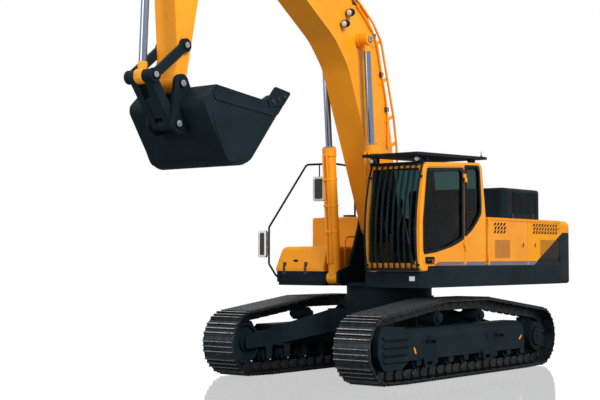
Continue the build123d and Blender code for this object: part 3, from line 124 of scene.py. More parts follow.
def bump(nodes, links, shader, source, strength, distance):
    """Bump from a factor, with its height in metres."""
    relief = nodes.new("ShaderNodeBump")
    relief.inputs["Strength"].default_value = strength
    relief.inputs["Distance"].default_value = distance
    links.new(source, relief.inputs["Height"])
    links.new(relief.outputs["Normal"], shader.inputs["Normal"])


def spread(nodes, links, source, low, high):
    """A factor remapped so that 0..1 becomes low..high."""
    change = nodes.new("ShaderNodeMapRange")
    change.inputs["To Min"].default_value = low
    change.inputs["To Max"].default_value = high
    links.new(source, change.inputs["Value"])
    return change.outputs["Result"]


YELLOW = (0.95, 0.362, 0.012)
YELLOW_SHADE = (0.88, 0.305, 0.009)
CHARCOAL = (0.0062, 0.0128, 0.0170)
CHARCOAL_PALE = (0.0105, 0.0205, 0.0270)


def painted(name, deep, pale, roughness, coat):
    """Sprayed enamel: slow drift of tone, orange peel and a clear gloss."""
    material, nodes, links, shader = new_finish(name, pale, roughness)
    tone = noise(nodes, links, 1.7, 5)
    links.new(ramp(nodes, links, tone, ((0.35, deep), (0.65, pale))), shader.inputs["Base Color"])
    links.new(spread(nodes, links, noise(nodes, links, 6, 6), roughness - 0.07, roughness + 0.1), shader.inputs["Roughness"])
    bump(nodes, links, shader, noise(nodes, links, 160, 2), 0.12, 0.0006)
    shader.inputs["Coat Weight"].default_value = coat
    shader.inputs["Coat Roughness"].default_value = 0.12
    return material


yellow_enamel = painted("yellow_enamel", YELLOW_SHADE, YELLOW, 0.40, 0.08)
yellow_enamel.node_tree.nodes["Principled BSDF"].inputs["Specular IOR Level"].default_value = 0.20
charcoal_enamel = painted("charcoal_enamel", CHARCOAL, CHARCOAL_PALE, 0.50, 0.0)
charcoal_enamel.node_tree.nodes["Principled BSDF"].inputs["Specular IOR Level"].default_value = 0.05


def two_tone(name, corner, slope, level):
    """Yellow enamel with a charcoal rear quarter, parted by a slanting line in the side view."""
    material = yellow_enamel.copy()
    material.name = name
    material.node_tree.nodes["Principled BSDF"].inputs["Specular IOR Level"].default_value = 0.07
    material.node_tree.nodes["Principled BSDF"].inputs["Coat Weight"].default_value = 0.0
    nodes, links = material.node_tree.nodes, material.node_tree.links
    shader = nodes["Principled BSDF"]
    yellow = shader.inputs["Base Color"].links[0].from_socket
    place = nodes.new("ShaderNodeTexCoord")
    parts = nodes.new("ShaderNodeSeparateXYZ")
    links.new(place.outputs["Object"], parts.inputs["Vector"])

    def sum_of(first, factor, second, addend):
        step = nodes.new("ShaderNodeMath")
        step.operation = "MULTIPLY_ADD"
        links.new(first, step.inputs[0])
        step.inputs[1].default_value = factor
        step.inputs[2].default_value = addend
        if second is not None:
            links.new(second, step.inputs[2])
        return step.outputs[0]

    # Charcoal where z is under corner_z + slope * (corner_x - x), and under the level line
    line = sum_of(parts.outputs["X"], slope, parts.outputs["Z"], 0)
    under_line = nodes.new("ShaderNodeMath")
    under_line.operation = "LESS_THAN"
    links.new(line, under_line.inputs[0])
    under_line.inputs[1].default_value = corner[1] + slope * corner[0]
    under_level = nodes.new("ShaderNodeMath")
    under_level.operation = "LESS_THAN"
    links.new(parts.outputs["Z"], under_level.inputs[0])
    under_level.inputs[1].default_value = level
    both = nodes.new("ShaderNodeMath")
    both.operation = "MULTIPLY"
    links.new(under_line.outputs[0], both.inputs[0])
    links.new(under_level.outputs[0], both.inputs[1])
    mix = nodes.new("ShaderNodeMix")
    mix.data_type = "RGBA"
    links.new(both.outputs[0], mix.inputs["Factor"])
    links.new(yellow, mix.inputs["A"])
    mix.inputs["B"].default_value = (*CHARCOAL, 1)
    links.new(mix.outputs["Result"], shader.inputs["Base Color"])
    return material


REAR_CORNER = (SWING_X - 2.087, 1.70)     # where the slanting line meets the strip under the doors
REAR_SLOPE = 0.527
REAR_LEVEL = 2.154
rear_two_tone = two_tone("rear_two_tone", REAR_CORNER, REAR_SLOPE, REAR_LEVEL)

track_steel, nodes, links, shader = new_finish("track_steel", (0.03, 0.035, 0.038), 0.45, 0.5)
scuff = noise(nodes, links, 14, 8)
links.new(ramp(nodes, links, scuff, ((0.40, (0.007, 0.012, 0.015)), (0.62, (0.018, 0.026, 0.031)),
                                     (0.82, (0.06, 0.07, 0.076)))), shader.inputs["Base Color"])
links.new(spread(nodes, links, noise(nodes, links, 30, 6), 0.32, 0.62), shader.inputs["Roughness"])
bump(nodes, links, shader, noise(nodes, links, 120, 6), 0.3, 0.0015)

# The rods' base colour is dark and bluish, darker than bare chrome: painted reflection of dark surroundings.
chrome, nodes, links, shader = new_finish("chrome_rod", (0.20, 0.22, 0.28), 0.10, 1.0)
links.new(spread(nodes, links, noise(nodes, links, 60, 3, (1, 1, 12)), 0.06, 0.16), shader.inputs["Roughness"])

bare_steel, nodes, links, shader = new_finish("bare_steel", (0.55, 0.56, 0.57), 0.3, 1.0)
bump(nodes, links, shader, noise(nodes, links, 400, 4), 0.15, 0.0003)
links.new(spread(nodes, links, noise(nodes, links, 40, 5), 0.25, 0.45), shader.inputs["Roughness"])

# Paler, brighter metal for the grousers' top faces: a painted highlight.
grouser_tip_highlight, nodes, links, shader = new_finish("grouser_tip_painted_highlight", (0.36, 0.38, 0.40), 0.35, 0.9)
links.new(ramp(nodes, links, noise(nodes, links, 45, 7), ((0.32, (0.09, 0.10, 0.11)), (0.56, (0.48, 0.52, 0.54)))),
          shader.inputs["Base Color"])
links.new(spread(nodes, links, noise(nodes, links, 80, 5), 0.25, 0.5), shader.inputs["Roughness"])

pin_grey, nodes, links, shader = new_finish("pin_cap_grey", (0.42, 0.43, 0.43), 0.5, 0.2)
links.new(ramp(nodes, links, noise(nodes, links, 30, 6), ((0.35, (0.17, 0.18, 0.18)), (0.65, (0.34, 0.35, 0.35)))),
          shader.inputs["Base Color"])
bump(nodes, links, shader, noise(nodes, links, 260, 4), 0.2, 0.0004)

band_grey = painted("band_grey", (0.105, 0.112, 0.145), (0.135, 0.142, 0.18), 0.4, 0.2)
# Near-black rubber of the window gaskets; the same finish is also painted shade in the louvre slots, behind the hood
# grilles, in the tool box slot and in the track frames' recesses.
gasket_and_painted_shade, nodes, links, shader = new_finish("window_gasket_and_painted_shade", (0.004, 0.005, 0.006), 0.5)
shader.inputs["Specular IOR Level"].default_value = 0.08
bump(nodes, links, shader, noise(nodes, links, 500, 3), 0.25, 0.0003)
links.new(spread(nodes, links, noise(nodes, links, 12, 4), 0.42, 0.6), shader.inputs["Roughness"])
panel_black = painted("panel_black", (0.003, 0.005, 0.006), (0.006, 0.009, 0.010), 0.30, 0.0)
panel_black.node_tree.nodes["Principled BSDF"].inputs["Specular IOR Level"].default_value = 0.10
lamp_glass, nodes, links, shader = new_finish("lamp_glass", (0.78, 0.80, 0.82), 0.12, 0.3)
flutes = nodes.new("ShaderNodeTexWave")
flutes.inputs["Scale"].default_value = 55
flute_place = nodes.new("ShaderNodeTexCoord")
links.new(flute_place.outputs["Object"], flutes.inputs["Vector"])
bump(nodes, links, shader, flutes.outputs["Fac"], 0.5, 0.001)
links.new(spread(nodes, links, noise(nodes, links, 20, 3), 0.08, 0.2), shader.inputs["Roughness"])
mirror_glass, nodes, links, shader = new_finish("mirror_glass", (0.74, 0.78, 0.80), 0.03, 1.0)
links.new(spread(nodes, links, noise(nodes, links, 8, 3), 0.01, 0.06), shader.inputs["Roughness"])
red_knob, nodes, links, shader = new_finish("red_grip", (0.42, 0.02, 0.015), 0.4)
bump(nodes, links, shader, noise(nodes, links, 300, 3), 0.2, 0.0003)
links.new(spread(nodes, links, noise(nodes, links, 25, 4), 0.32, 0.5), shader.inputs["Roughness"])

cab_glass, nodes, links, shader = new_finish("tinted_glass", (0.15, 0.23, 0.23), 0.02)
shader.inputs["Transmission Weight"].default_value = 1.0
shader.inputs["IOR"].default_value = 1.12
links.new(spread(nodes, links, noise(nodes, links, 5, 3), 0.0, 0.05), shader.inputs["Roughness"])

black_plastic, nodes, links, shader = new_finish("black_plastic", (0.018, 0.018, 0.020), 0.55)
bump(nodes, links, shader, noise(nodes, links, 700, 3), 0.35, 0.0004)
links.new(ramp(nodes, links, noise(nodes, links, 9, 4), ((0.3, (0.014, 0.014, 0.016)), (0.7, (0.026, 0.027, 0.029)))),
          shader.inputs["Base Color"])

seat_cloth, nodes, links, shader = new_finish("seat_cloth", (0.03, 0.03, 0.034), 0.9)
weave = nodes.new("ShaderNodeTexChecker")
weave.inputs["Scale"].default_value = 420
weave_place = nodes.new("ShaderNodeTexCoord")
links.new(weave_place.outputs["Object"], weave.inputs["Vector"])
weave.inputs["Color1"].default_value = (0.022, 0.022, 0.026, 1)
weave.inputs["Color2"].default_value = (0.045, 0.045, 0.05, 1)
links.new(weave.outputs["Color"], shader.inputs["Base Color"])
bump(nodes, links, shader, weave.outputs["Fac"], 0.4, 0.0006)
shader.inputs["Sheen Weight"].default_value = 0.3


def dress(finish, *nodes_named):
    """Gives CAD nodes a finish in place of their plain one."""
    for node in nodes_named:
        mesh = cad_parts[node].data
        mesh.materials.clear()
        mesh.materials.append(finish)


SIDES = ("left", "right")
dress(yellow_enamel, "boom", "arm", "cab_shell", "cab_door", "left_door_front", "right_door", "boom_pipes",
      "tool_box_lid", "handrail", "fuel_tank", "hydraulic_tank", "boom_cylinder_barrels", "arm_cylinder_barrel",
      "bucket_cylinder_barrel")
dress(rear_two_tone, "left_door_rear", "counterweight", "machine_house")
dress(charcoal_enamel, "upper_frame", "tool_box_base", "engine_hood", "cab_front_guard", "cab_roof_guard", "bucket",
      "idler_links", "bucket_link", "centre_frame", "swing_bearing", "mirror_stay", "engine_block", "boom_lamps",
      *[f"{name}_{side}" for side in SIDES for name in
        ("track_frame", "idler", "sprocket", "track_rollers", "carrier_rollers")])
dress(track_steel, "track_left", "track_right")
dress(chrome, "boom_cylinder_rods", "arm_cylinder_rod", "bucket_cylinder_rod")
dress(cab_glass, "cab_glass", "door_glass")
dress(black_plastic, "control_consoles", "mirrors")
dress(seat_cloth, "driver_seat")


# Shapes: each maker returns points and faces, in metres from the swing centre

def ring_faces(rings, count):
    """Quads between successive rings of count points, closed round each ring, and one face over each end."""
    base = np.arange(rings - 1)[:, None] * count
    here = np.arange(count)[None, :]
    there = (here + 1) % count
    quads = np.stack((base + here, base + there, base + count + there, base + count + here), -1)
    return quads.reshape(-1, 4).tolist() + [list(range(count)), list(range((rings - 1) * count, rings * count))]


def plane_at(origin, first, second):
    """Origin and two unit directions with their cross product: a place is origin + a*first + b*second + c*third."""
    first, second = np.array(first, float), np.array(second, float)
    return np.array(origin, float), first, second, np.cross(first, second)


def flank(y, hand=1):
    """Plane on the machine's side at y: forward, up, and c outwards to the side that hand gives."""
    origin, first, second, third = plane_at((0, y, 0), (1, 0, 0), (0, 0, 1))
    return origin, first, second, -hand * third


def level_at(place):
    """Level plane at a place: a forward, b to the left, c up."""
    return (np.array(place, float), *np.eye(3))


def placed(plane, a, b, c):
    """Points of a plane for arrays a, b, c: origin + a*first + b*second + c*third."""
    origin, first, second, third = plane
    return origin + np.multiply.outer(a, first) + np.multiply.outer(b, second) + np.multiply.outer(c, third)


def inwards(outline, distance):
    """Each corner moved along the bisector of its two sides, so that every side moves in by distance."""
    ahead = np.roll(outline, -1, 0) - outline
    ahead /= np.linalg.norm(ahead, axis=1)[:, None]
    area = np.sum(outline[:, 0] * np.roll(outline[:, 1], -1) - np.roll(outline[:, 0], -1) * outline[:, 1])
    normal = np.stack((-ahead[:, 1], ahead[:, 0]), 1) * np.sign(area)
    before = np.roll(normal, 1, 0)
    return outline + distance * (normal + before) / (1 + np.sum(normal * before, 1))[:, None]


def rounded(corners, radius=0.01, steps=4):
    """A polygon whose corners become quadratic curves that start and end radius from each corner."""
    corners = np.asarray(corners, float)
    back, on = np.roll(corners, 1, 0) - corners, np.roll(corners, -1, 0) - corners
    reach = np.minimum(radius, 0.45 * np.minimum(np.linalg.norm(back, axis=1), np.linalg.norm(on, axis=1)))[:, None]
    start = corners + back / np.linalg.norm(back, axis=1)[:, None] * reach
    end = corners + on / np.linalg.norm(on, axis=1)[:, None] * reach
    t = np.linspace(0, 1, steps)[None, :, None]
    curve = (1 - t) ** 2 * start[:, None] + 2 * t * (1 - t) * corners[:, None] + t ** 2 * end[:, None]
    return curve.reshape(-1, corners.shape[1])


def oblong(centre, width, height, radius=0.01, steps=4):
    """A rounded rectangle about a centre."""
    (a, b), w, h = centre, width / 2, height / 2
    return rounded(((a - w, b - h), (a + w, b - h), (a + w, b + h), (a - w, b + h)), radius, steps)


def plate(outline, near, far, plane, bevel=0.002):
    """An outline carried from near to far along the plane's third direction, both rims cut by bevel."""
    outline = np.asarray(outline, float)
    inner = inwards(outline, bevel)
    sign = math.copysign(bevel, far - near)
    rings = ((inner, near), (outline, near + sign), (outline, far - sign), (inner, far))
    points = np.concatenate([placed(plane, ring[:, 0], ring[:, 1], np.full(len(ring), depth)) for ring, depth in rings])
    return points, ring_faces(4, len(outline))


def turned(profile, plane, centre=(0, 0), sides=20):
    """A profile of (radius, distance) turned about the third direction through a centre, closed at both ends."""
    profile = np.asarray(profile, float)
    angle = np.arange(sides) * 2 * math.pi / sides
    a = centre[0] + np.multiply.outer(profile[:, 0], np.cos(angle))
    b = centre[1] + np.multiply.outer(profile[:, 0], np.sin(angle))
    c = np.repeat(profile[:, 1], sides)
    return placed(plane, a.ravel(), b.ravel(), c), ring_faces(len(profile), sides)


def pipe(path, radius, sides=10):
    """A circle carried along points, square to the mean direction at each."""
    path = np.asarray(path, float)
    ahead = np.gradient(path, axis=0)
    ahead /= np.linalg.norm(ahead, axis=1)[:, None]
    upright = np.eye(3)[np.argmin(np.abs(ahead).max(0))]
    side = np.cross(ahead, upright)
    side /= np.linalg.norm(side, axis=1)[:, None]
    other = np.cross(ahead, side)
    angle = np.arange(sides) * 2 * math.pi / sides
    ring = radius * (np.cos(angle)[None, :, None] * side[:, None] + np.sin(angle)[None, :, None] * other[:, None])
    return (path[:, None] + ring).reshape(-1, 3), ring_faces(len(path), sides)


def bent(points, radius, steps=5):
    """An open run of points with its inner corners turned into quadratic curves."""
    points = np.asarray(points, float)
    closed = rounded(points, radius, steps).reshape(len(points), steps, 3)
    return np.concatenate((points[:1], closed[1:-1].reshape(-1, 3), points[-1:]))


def slab(x, y, z, bevel=0.004):
    """A box between pairs of x, y and z, its long rims cut by bevel."""
    corners = ((x[0], z[0]), (x[1], z[0]), (x[1], z[1]), (x[0], z[1]))
    return plate(rounded(corners, bevel, 2), y[0], y[1], flank(0), bevel)


def joined(parts):
    """Several shapes as one."""
    points, faces, shift = [], [], 0
    for part_points, part_faces in parts:
        points.append(part_points)
        faces += [[corner + shift for corner in face] for face in part_faces]
        shift += len(part_points)
    return np.concatenate(points), faces


def mirrored(shape):
    """The same shape on the machine's other side."""
    return shape[0] * (1, -1, 1), shape[1]


def piece(name, body, finish, parts, smooth=40):
    """One object out of shapes, in place, with its faces turned outwards, riding with a body."""
    points, faces = joined(parts)
    mesh = bpy.data.meshes.new(name)
    mesh.from_pydata((points + (SWING_X, 0, 0)).tolist(), [], faces)
    work = bmesh.new()
    work.from_mesh(mesh)
    bmesh.ops.recalc_face_normals(work, faces=work.faces)
    work.to_mesh(mesh)
    work.free()
    mesh.materials.append(finish)
    made = bpy.data.objects.new(name, mesh)
    bpy.context.scene.collection.objects.link(made)
    if smooth:
        mesh.shade_smooth()
        mesh.set_sharp_from_angle(angle=math.radians(smooth))
    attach(made, body)
    return made


# Tracks: shoes with three grousers, bolts, jogged links and pins, laid along the belt

GAUGE_HALF = 1.195
SHOE_HALF = 0.300
SHOE_COUNT = 51
PIN_LINE = 0.075          # the link pins' line outside the rails' running face
RUN_IN = 0.280            # height of the lowest rollers' middles
BELT = np.array(((-1.700, RUN_IN, 0.100), (1.700, RUN_IN, 0.100), (2.170, 0.492, 0.300), (0.700, 0.870, 0.100),
                 (-0.480, 0.870, 0.100), (-2.170, 0.480, 0.286)))


def belt_places(count, depth):
    """Middles, outward normals and step of evenly spaced shoes on the belt round the circles grown by depth.

    Each run is the outer tangent of two circles; each arc turns from one run's normal to the next one's.
    """
    centre, radius = BELT[:, :2], BELT[:, 2] + depth
    gap = np.roll(centre, -1, 0) - centre
    span = np.linalg.norm(gap, axis=1)
    along = gap / span[:, None]
    lean = (radius - np.roll(radius, -1)) / span
    rise = np.sqrt(1 - lean ** 2)
    normal = np.stack((along[:, 0] * lean + along[:, 1] * rise, along[:, 1] * lean - along[:, 0] * rise), 1)
    heading = np.arctan2(normal[:, 1], normal[:, 0])
    turn = (np.roll(heading, -1) - heading) % (2 * math.pi)
    straight = span * rise
    lengths = np.stack((straight, turn * np.roll(radius, -1)), 1).ravel()
    ends = np.concatenate(((0,), np.cumsum(lengths)))
    step = ends[-1] / count
    distance = (np.arange(count) + 0.5) * step
    part = np.searchsorted(ends, distance) - 1
    run, into = part // 2, distance - ends[part]
    on_arc = part % 2 == 1
    angle = heading[run] + np.where(on_arc, into / np.roll(radius, -1)[run], 0)
    facing = np.stack((np.cos(angle), np.sin(angle)), 1)
    start = centre[run] + radius[run, None] * normal[run]
    middle = start + along_run(normal[run]) * into[:, None]
    arc_middle = np.roll(centre, -1, 0)[run] + np.roll(radius, -1)[run, None] * facing
    return np.where(on_arc[:, None], arc_middle, middle), facing, step


def along_run(normal):
    """The direction of travel for an outward normal: a quarter turn of it."""
    return np.stack((-normal[:, 1], normal[:, 0]), 1)


SHOE_MIDDLES, SHOE_NORMALS, SHOE_STEP = belt_places(SHOE_COUNT, PIN_LINE)


def laid(shape, y):
    """A shape in (along, across, outwards from the pin line) repeated on every shoe of the track at y."""
    local, faces = shape
    ahead = along_run(SHOE_NORMALS)
    flat = (SHOE_MIDDLES[:, None] + local[None, :, :1] * ahead[:, None] + local[None, :, 2:] * SHOE_NORMALS[:, None])
    across = np.broadcast_to(local[None, :, 1:2] + y, (len(flat), len(local), 1))
    points = np.concatenate((flat[..., :1], across, flat[..., 1:]), 2).reshape(-1, 3)
    count = len(local)
    return points, [[corner + number * count for corner in face] for number in range(len(flat)) for face in faces]


def shoe():
    """A plate with three grousers: one outline (along, out) at four stations across, its ends drawn in."""
    half, row = 0.49 * SHOE_STEP, 0.34 * SHOE_STEP
    foot, tip, top, face = 0.013, 0.0055, 0.105, 0.075
    bar = [(foot, face), (tip, top), (-tip, top), (-foot, face)]
    upper = [(half, face - 0.004)] + [(offset + a, o) for offset in (row, 0, -row) for a, o in bar] + [(-half, face - 0.004)]
    lip = half + 0.044
    outline = np.array([(-half, face - 0.016), (half, face - 0.020), (lip, face - 0.040), (lip, face - 0.028)] + upper)
    ends = outline * (0.985, 1)
    ends[:, 1] = np.minimum(ends[:, 1], top - 0.012)
    stations = ((ends, -SHOE_HALF), (outline, -SHOE_HALF + 0.012), (outline, SHOE_HALF - 0.012), (ends, SHOE_HALF))
    points = np.concatenate([np.stack((ring[:, 0], np.full(len(ring), across), ring[:, 1]), 1) for ring, across in stations])
    return points, ring_faces(4, len(outline))


def jogged_bar(across, thick):
    """One link plate: a rounded bar whose front half stands thick further out than its rear half."""
    end, waist, low, high = 0.64 * SHOE_STEP, 0.40 * SHOE_STEP, -0.0745, 0.0585
    outline = rounded(((-end, -0.030), (-waist, low), (waist, low), (end, -0.030), (end, 0.030), (waist, high),
                       (-waist, high), (-end, 0.030)), 0.014, 3)
    jog = np.clip(outline[:, 0] / (0.1 * SHOE_STEP), -0.5, 0.5) * thick
    rings = [np.stack((outline[:, 0], across + side * thick / 2 + jog, outline[:, 1]), 1) for side in (-1, 1)]
    return np.concatenate(rings), ring_faces(2, len(outline))


def across_bar(along, out, radius, reach, sides=10):
    """A round bar across the track."""
    plane = (np.array((along, 0, out)), np.array((1.0, 0, 0)), np.array((0, 0, 1.0)), np.array((0, 1.0, 0)))
    return turned(((radius * 0.8, -reach), (radius, -reach + 0.006), (radius, reach - 0.006), (radius * 0.8, reach)), plane, sides=sides)


shoe_bolts = joined([turned(((0.014, 0.073), (0.014, 0.085), (0.011, 0.088)), level_at((0, 0, 0)), (a, b), 6)
                     for a in (-0.17 * SHOE_STEP, 0.17 * SHOE_STEP) for b in (-0.098, 0.098)])
for side, y in (("left", GAUGE_HALF), ("right", -GAUGE_HALF)):
    shoes = piece(f"track_shoes_{side}", "undercarriage", track_steel, [laid(shoe(), y)])
    shoes.data.materials.append(grouser_tip_highlight)
    # Faces on the grousers' tops take the paler metal: painted highlight.
    tips = np.zeros(len(shoes.data.polygons), int)
    middles, normals = np.empty(len(tips) * 3), np.empty(len(tips) * 3)
    shoes.data.polygons.foreach_get("center", middles)
    shoes.data.polygons.foreach_get("normal", normals)
    middles, normals = middles.reshape(-1, 3)[:, ::2] - (SWING_X, 0), normals.reshape(-1, 3)[:, ::2]
    nearest = np.argmin(np.linalg.norm(middles[:, None] - SHOE_MIDDLES[None], axis=2), 1)
    height = np.sum((middles - SHOE_MIDDLES[nearest]) * SHOE_NORMALS[nearest], 1)
    tips[(height > 0.100) & (np.sum(normals * SHOE_NORMALS[nearest], 1) > 0.8)] = 1
    shoes.data.polygons.foreach_set("material_index", tips)
    piece(f"track_chain_{side}", "undercarriage", track_steel,
          [laid(joined([jogged_bar(-0.100, -0.022), jogged_bar(0.100, 0.022),
                        across_bar(SHOE_STEP / 2, 0, 0.026, 0.132), shoe_bolts]), y)], 30)
    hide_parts(f"track_{side}")


# More shapes

def filleted(corners, steps=7):
    """A polygon of (a, b, radius) whose corners become true arcs: each arc touches both sides."""
    points = np.array([corner[:2] for corner in corners], float)
    radius = np.array([corner[2] for corner in corners], float)
    back, on = np.roll(points, 1, 0) - points, np.roll(points, -1, 0) - points
    back /= np.linalg.norm(back, axis=1)[:, None]
    on /= np.linalg.norm(on, axis=1)[:, None]
    half = np.arccos(np.clip(np.sum(back * on, 1), -1, 1)) / 2
    middle = back + on
    middle /= np.linalg.norm(middle, axis=1)[:, None]
    centre = points + middle * (radius / np.sin(half))[:, None]
    start = points + back * (radius / np.tan(half))[:, None] - centre
    turn = np.sign(back[:, 0] * on[:, 1] - back[:, 1] * on[:, 0]) * (math.pi - 2 * half) * -1
    angle = turn[:, None] * np.linspace(0, 1, steps)[None, :]
    c, s = np.cos(angle), np.sin(angle)
    arc = np.stack((c * start[:, :1] - s * start[:, 1:], s * start[:, :1] + c * start[:, 1:]), 2)
    return (centre[:, None] + arc).reshape(-1, 2)


def spokes(outline, centre, count=96):
    """Where count rays from a centre, evenly turned, meet an outline."""
    outline = np.asarray(outline, float) - centre
    side = np.roll(outline, -1, 0) - outline
    angle = np.arange(count) * 2 * math.pi / count
    ray = np.stack((np.cos(angle), np.sin(angle)), 1)
    cross = ray[:, None, 0] * side[None, :, 1] - ray[:, None, 1] * side[None, :, 0]
    cross = np.where(np.abs(cross) < 1e-12, 1e-12, cross)
    reach = (outline[None, :, 0] * side[None, :, 1] - outline[None, :, 1] * side[None, :, 0]) / cross
    share = (outline[None, :, 0] * ray[:, None, 1] - outline[None, :, 1] * ray[:, None, 0]) / cross
    good = (reach > 0) & (share >= -1e-6) & (share <= 1 + 1e-6)
    nearest = np.where(good, reach, np.inf).min(1)
    return centre + ray * nearest[:, None]


def border(outer, inner, centre, thick, plane, bend=None, count=96):
    """A flat frame between two outlines about a centre: five closed rings joined round its section.

    bend, where given, adds to c a height worked out from b, so that the frame follows a curved face.
    """
    out, into = spokes(outer, centre, count), spokes(inner, centre, count)
    inset = 0.0015
    rings = ((out, 0.0), (out, thick - inset), (into + (out - into) * 0.94, thick), (into, thick - inset), (into, 0.0))
    points = np.concatenate([placed(plane, ring[:, 0], ring[:, 1], np.full(len(ring), depth) + (bend(ring[:, 1]) if bend else 0))
                             for ring, depth in rings])
    base = np.arange(5)[:, None] * count
    here = np.arange(count)[None, :]
    after, there = (base + count) % (5 * count), (here + 1) % count
    faces = np.stack((base + here, base + there, after + there, after + here), -1).reshape(-1, 4).tolist()
    return points, faces


def puffed(centre, size, power=0.45, across=24, around=32):
    """A crowned pad: signed powers of a sphere's sines and cosines, below 1 for a squarer form."""
    u = np.linspace(-math.pi / 2, math.pi / 2, across)[:, None]
    v = np.linspace(0, 2 * math.pi, around, endpoint=False)[None, :]
    squared = lambda value: np.sign(value) * np.abs(value) ** power
    x = squared(np.cos(u)) * squared(np.cos(v))
    y = squared(np.cos(u)) * squared(np.sin(v))
    z = squared(np.sin(u)) * np.ones_like(v)
    points = np.stack((x, y, z), -1)[1:-1].reshape(-1, 3) * np.array(size) / 2 + centre
    return points, ring_faces(across - 2, around)


# Housing: louvres, perforated panels, latches and the band below the doors

HALF_WIDTH = 1.475
CAB_SIDE = 1.470


def perforated(name, base, pitch=0.017):
    """An enamel with staggered punched holes: dark where the product of two sines over x and z is high, painted shade
    for what lies behind each hole.
    """
    material = base.copy()
    material.name = name
    nodes, links = material.node_tree.nodes, material.node_tree.links
    shader = nodes["Principled BSDF"]
    colour = shader.inputs["Base Color"].links[0].from_socket
    place = nodes.new("ShaderNodeTexCoord")
    parts = nodes.new("ShaderNodeSeparateXYZ")
    links.new(place.outputs["Object"], parts.inputs["Vector"])
    waves = []
    for axis in ("X", "Z"):
        scale = nodes.new("ShaderNodeMath")
        scale.operation = "MULTIPLY"
        scale.inputs[1].default_value = math.pi / pitch
        wave = nodes.new("ShaderNodeMath")
        wave.operation = "SINE"
        links.new(parts.outputs[axis], scale.inputs[0])
        links.new(scale.outputs[0], wave.inputs[0])
        waves.append(wave.outputs[0])
    product = nodes.new("ShaderNodeMath")
    product.operation = "MULTIPLY"
    links.new(waves[0], product.inputs[0])
    links.new(waves[1], product.inputs[1])
    hole_shade = nodes.new("ShaderNodeMath")
    hole_shade.operation = "GREATER_THAN"
    hole_shade.inputs[1].default_value = 0.02
    links.new(product.outputs[0], hole_shade.inputs[0])
    mix = nodes.new("ShaderNodeMix")
    mix.data_type = "RGBA"
    links.new(hole_shade.outputs[0], mix.inputs["Factor"])
    links.new(colour, mix.inputs["A"])
    # Dark brown of the holes: painted shade behind the panel.
    mix.inputs["B"].default_value = (0.05, 0.022, 0.008, 1)
    links.new(mix.outputs["Result"], shader.inputs["Base Color"])
    return material


punched_yellow = perforated("punched_yellow", yellow_enamel)
punched_two_tone = perforated("punched_two_tone", rear_two_tone)


def louvre_slots(x0, x1, z0, z1, rows):
    """Slanting slots in rows: dark faces first, painted shade for the openings, then the pressed lip along each slot's
    forward edge.
    """
    plane = flank(HALF_WIDTH)
    pitch = 0.096
    height = (z1 - z0) / rows
    count = int((x0 - x1) / pitch)
    dark, lips = [], []
    for row in range(rows):
        low = z0 + row * height + 0.006
        top = low + height - 0.012
        for number in range(count):
            x = x0 - 0.018 - number * pitch - (0.012 if row % 2 else 0)
            lean = 0.044
            slot = ((x, low), (x - lean, top), (x - lean - 0.060, top), (x - 0.060, low))
            dark.append(plate(rounded(slot, 0.006, 3), -0.001, 0.0016, plane, 0.0006))
            run = placed(plane, np.array((x + 0.002, x + 0.002 - lean)), np.array((low, top)), np.array((0.001, 0.001)))
            lips.append(pipe(run, 0.0030, 8))
    return dark, lips


def housing_panel(side, body, tag, louvres, mesh, latch, finish, punched):
    """The dressings of one service door: louvres (x0, x1, z0, z1, rows), a punched panel and a latch."""
    turn = (lambda shape: shape) if side == "left" else mirrored
    dark, lips = louvre_slots(*louvres)
    # The slots are near-black plates on a closed wall: painted shade for the openings.
    piece(f"louvre_slots_{tag}", body, gasket_and_painted_shade, [turn(shape) for shape in dark])
    piece(f"louvre_lips_{tag}", body, finish, [turn(shape) for shape in lips])
    x0, x1, z0, z1 = mesh
    outline = rounded(((x1, z0), (x0, z0), (x0, z1), (x1, z1)), 0.012)
    piece(f"punched_panel_{tag}", body, punched, [turn(plate(outline, -0.001, 0.0022, flank(HALF_WIDTH), 0.001))])
    centre = ((x0 + x1) / 2, (z0 + z1) / 2)
    rim = border(rounded(((x1 - 0.014, z0 - 0.014), (x0 + 0.014, z0 - 0.014), (x0 + 0.014, z1 + 0.014), (x1 - 0.014, z1 + 0.014)),
                         0.02), outline, centre, 0.004, flank(HALF_WIDTH))
    x, z = latch
    pad = plate(oblong(latch, 0.115, 0.085, 0.038, 7), -0.001, 0.006, flank(HALF_WIDTH), 0.004)
    lever = plate(oblong((x + 0.004, z), 0.026, 0.062, 0.010, 5), 0.004, 0.014, flank(HALF_WIDTH), 0.003)
    lock = turned(((0.007, 0.004), (0.007, 0.010), (0.005, 0.0115)), flank(HALF_WIDTH), (x - 0.032, z), 14)
    piece(f"panel_rim_{tag}", body, finish, [turn(rim), turn(pad)])
    piece(f"door_latch_{tag}", body, black_plastic, [turn(lever)])
    piece(f"door_lock_{tag}", body, bare_steel, [turn(lock)])


housing_panel("left", "left_door_front", "left_front", (-0.640, -1.112, 2.104, 2.281, 3), (-0.708, -1.169, 1.732, 2.007),
              (-1.591, 1.938), yellow_enamel, punched_yellow)
housing_panel("left", "left_door_rear", "left_rear", (-1.885, -2.830, 2.115, 2.290, 3), (-2.161, -2.825, 1.732, 2.023),
              (-1.990, 1.941), rear_two_tone, punched_two_tone)
housing_panel("right", "right_door", "right", (-1.780, -2.720, 2.115, 2.290, 3), (-1.800, -2.700, 1.732, 2.023),
              (-1.655, 1.941), yellow_enamel, punched_yellow)

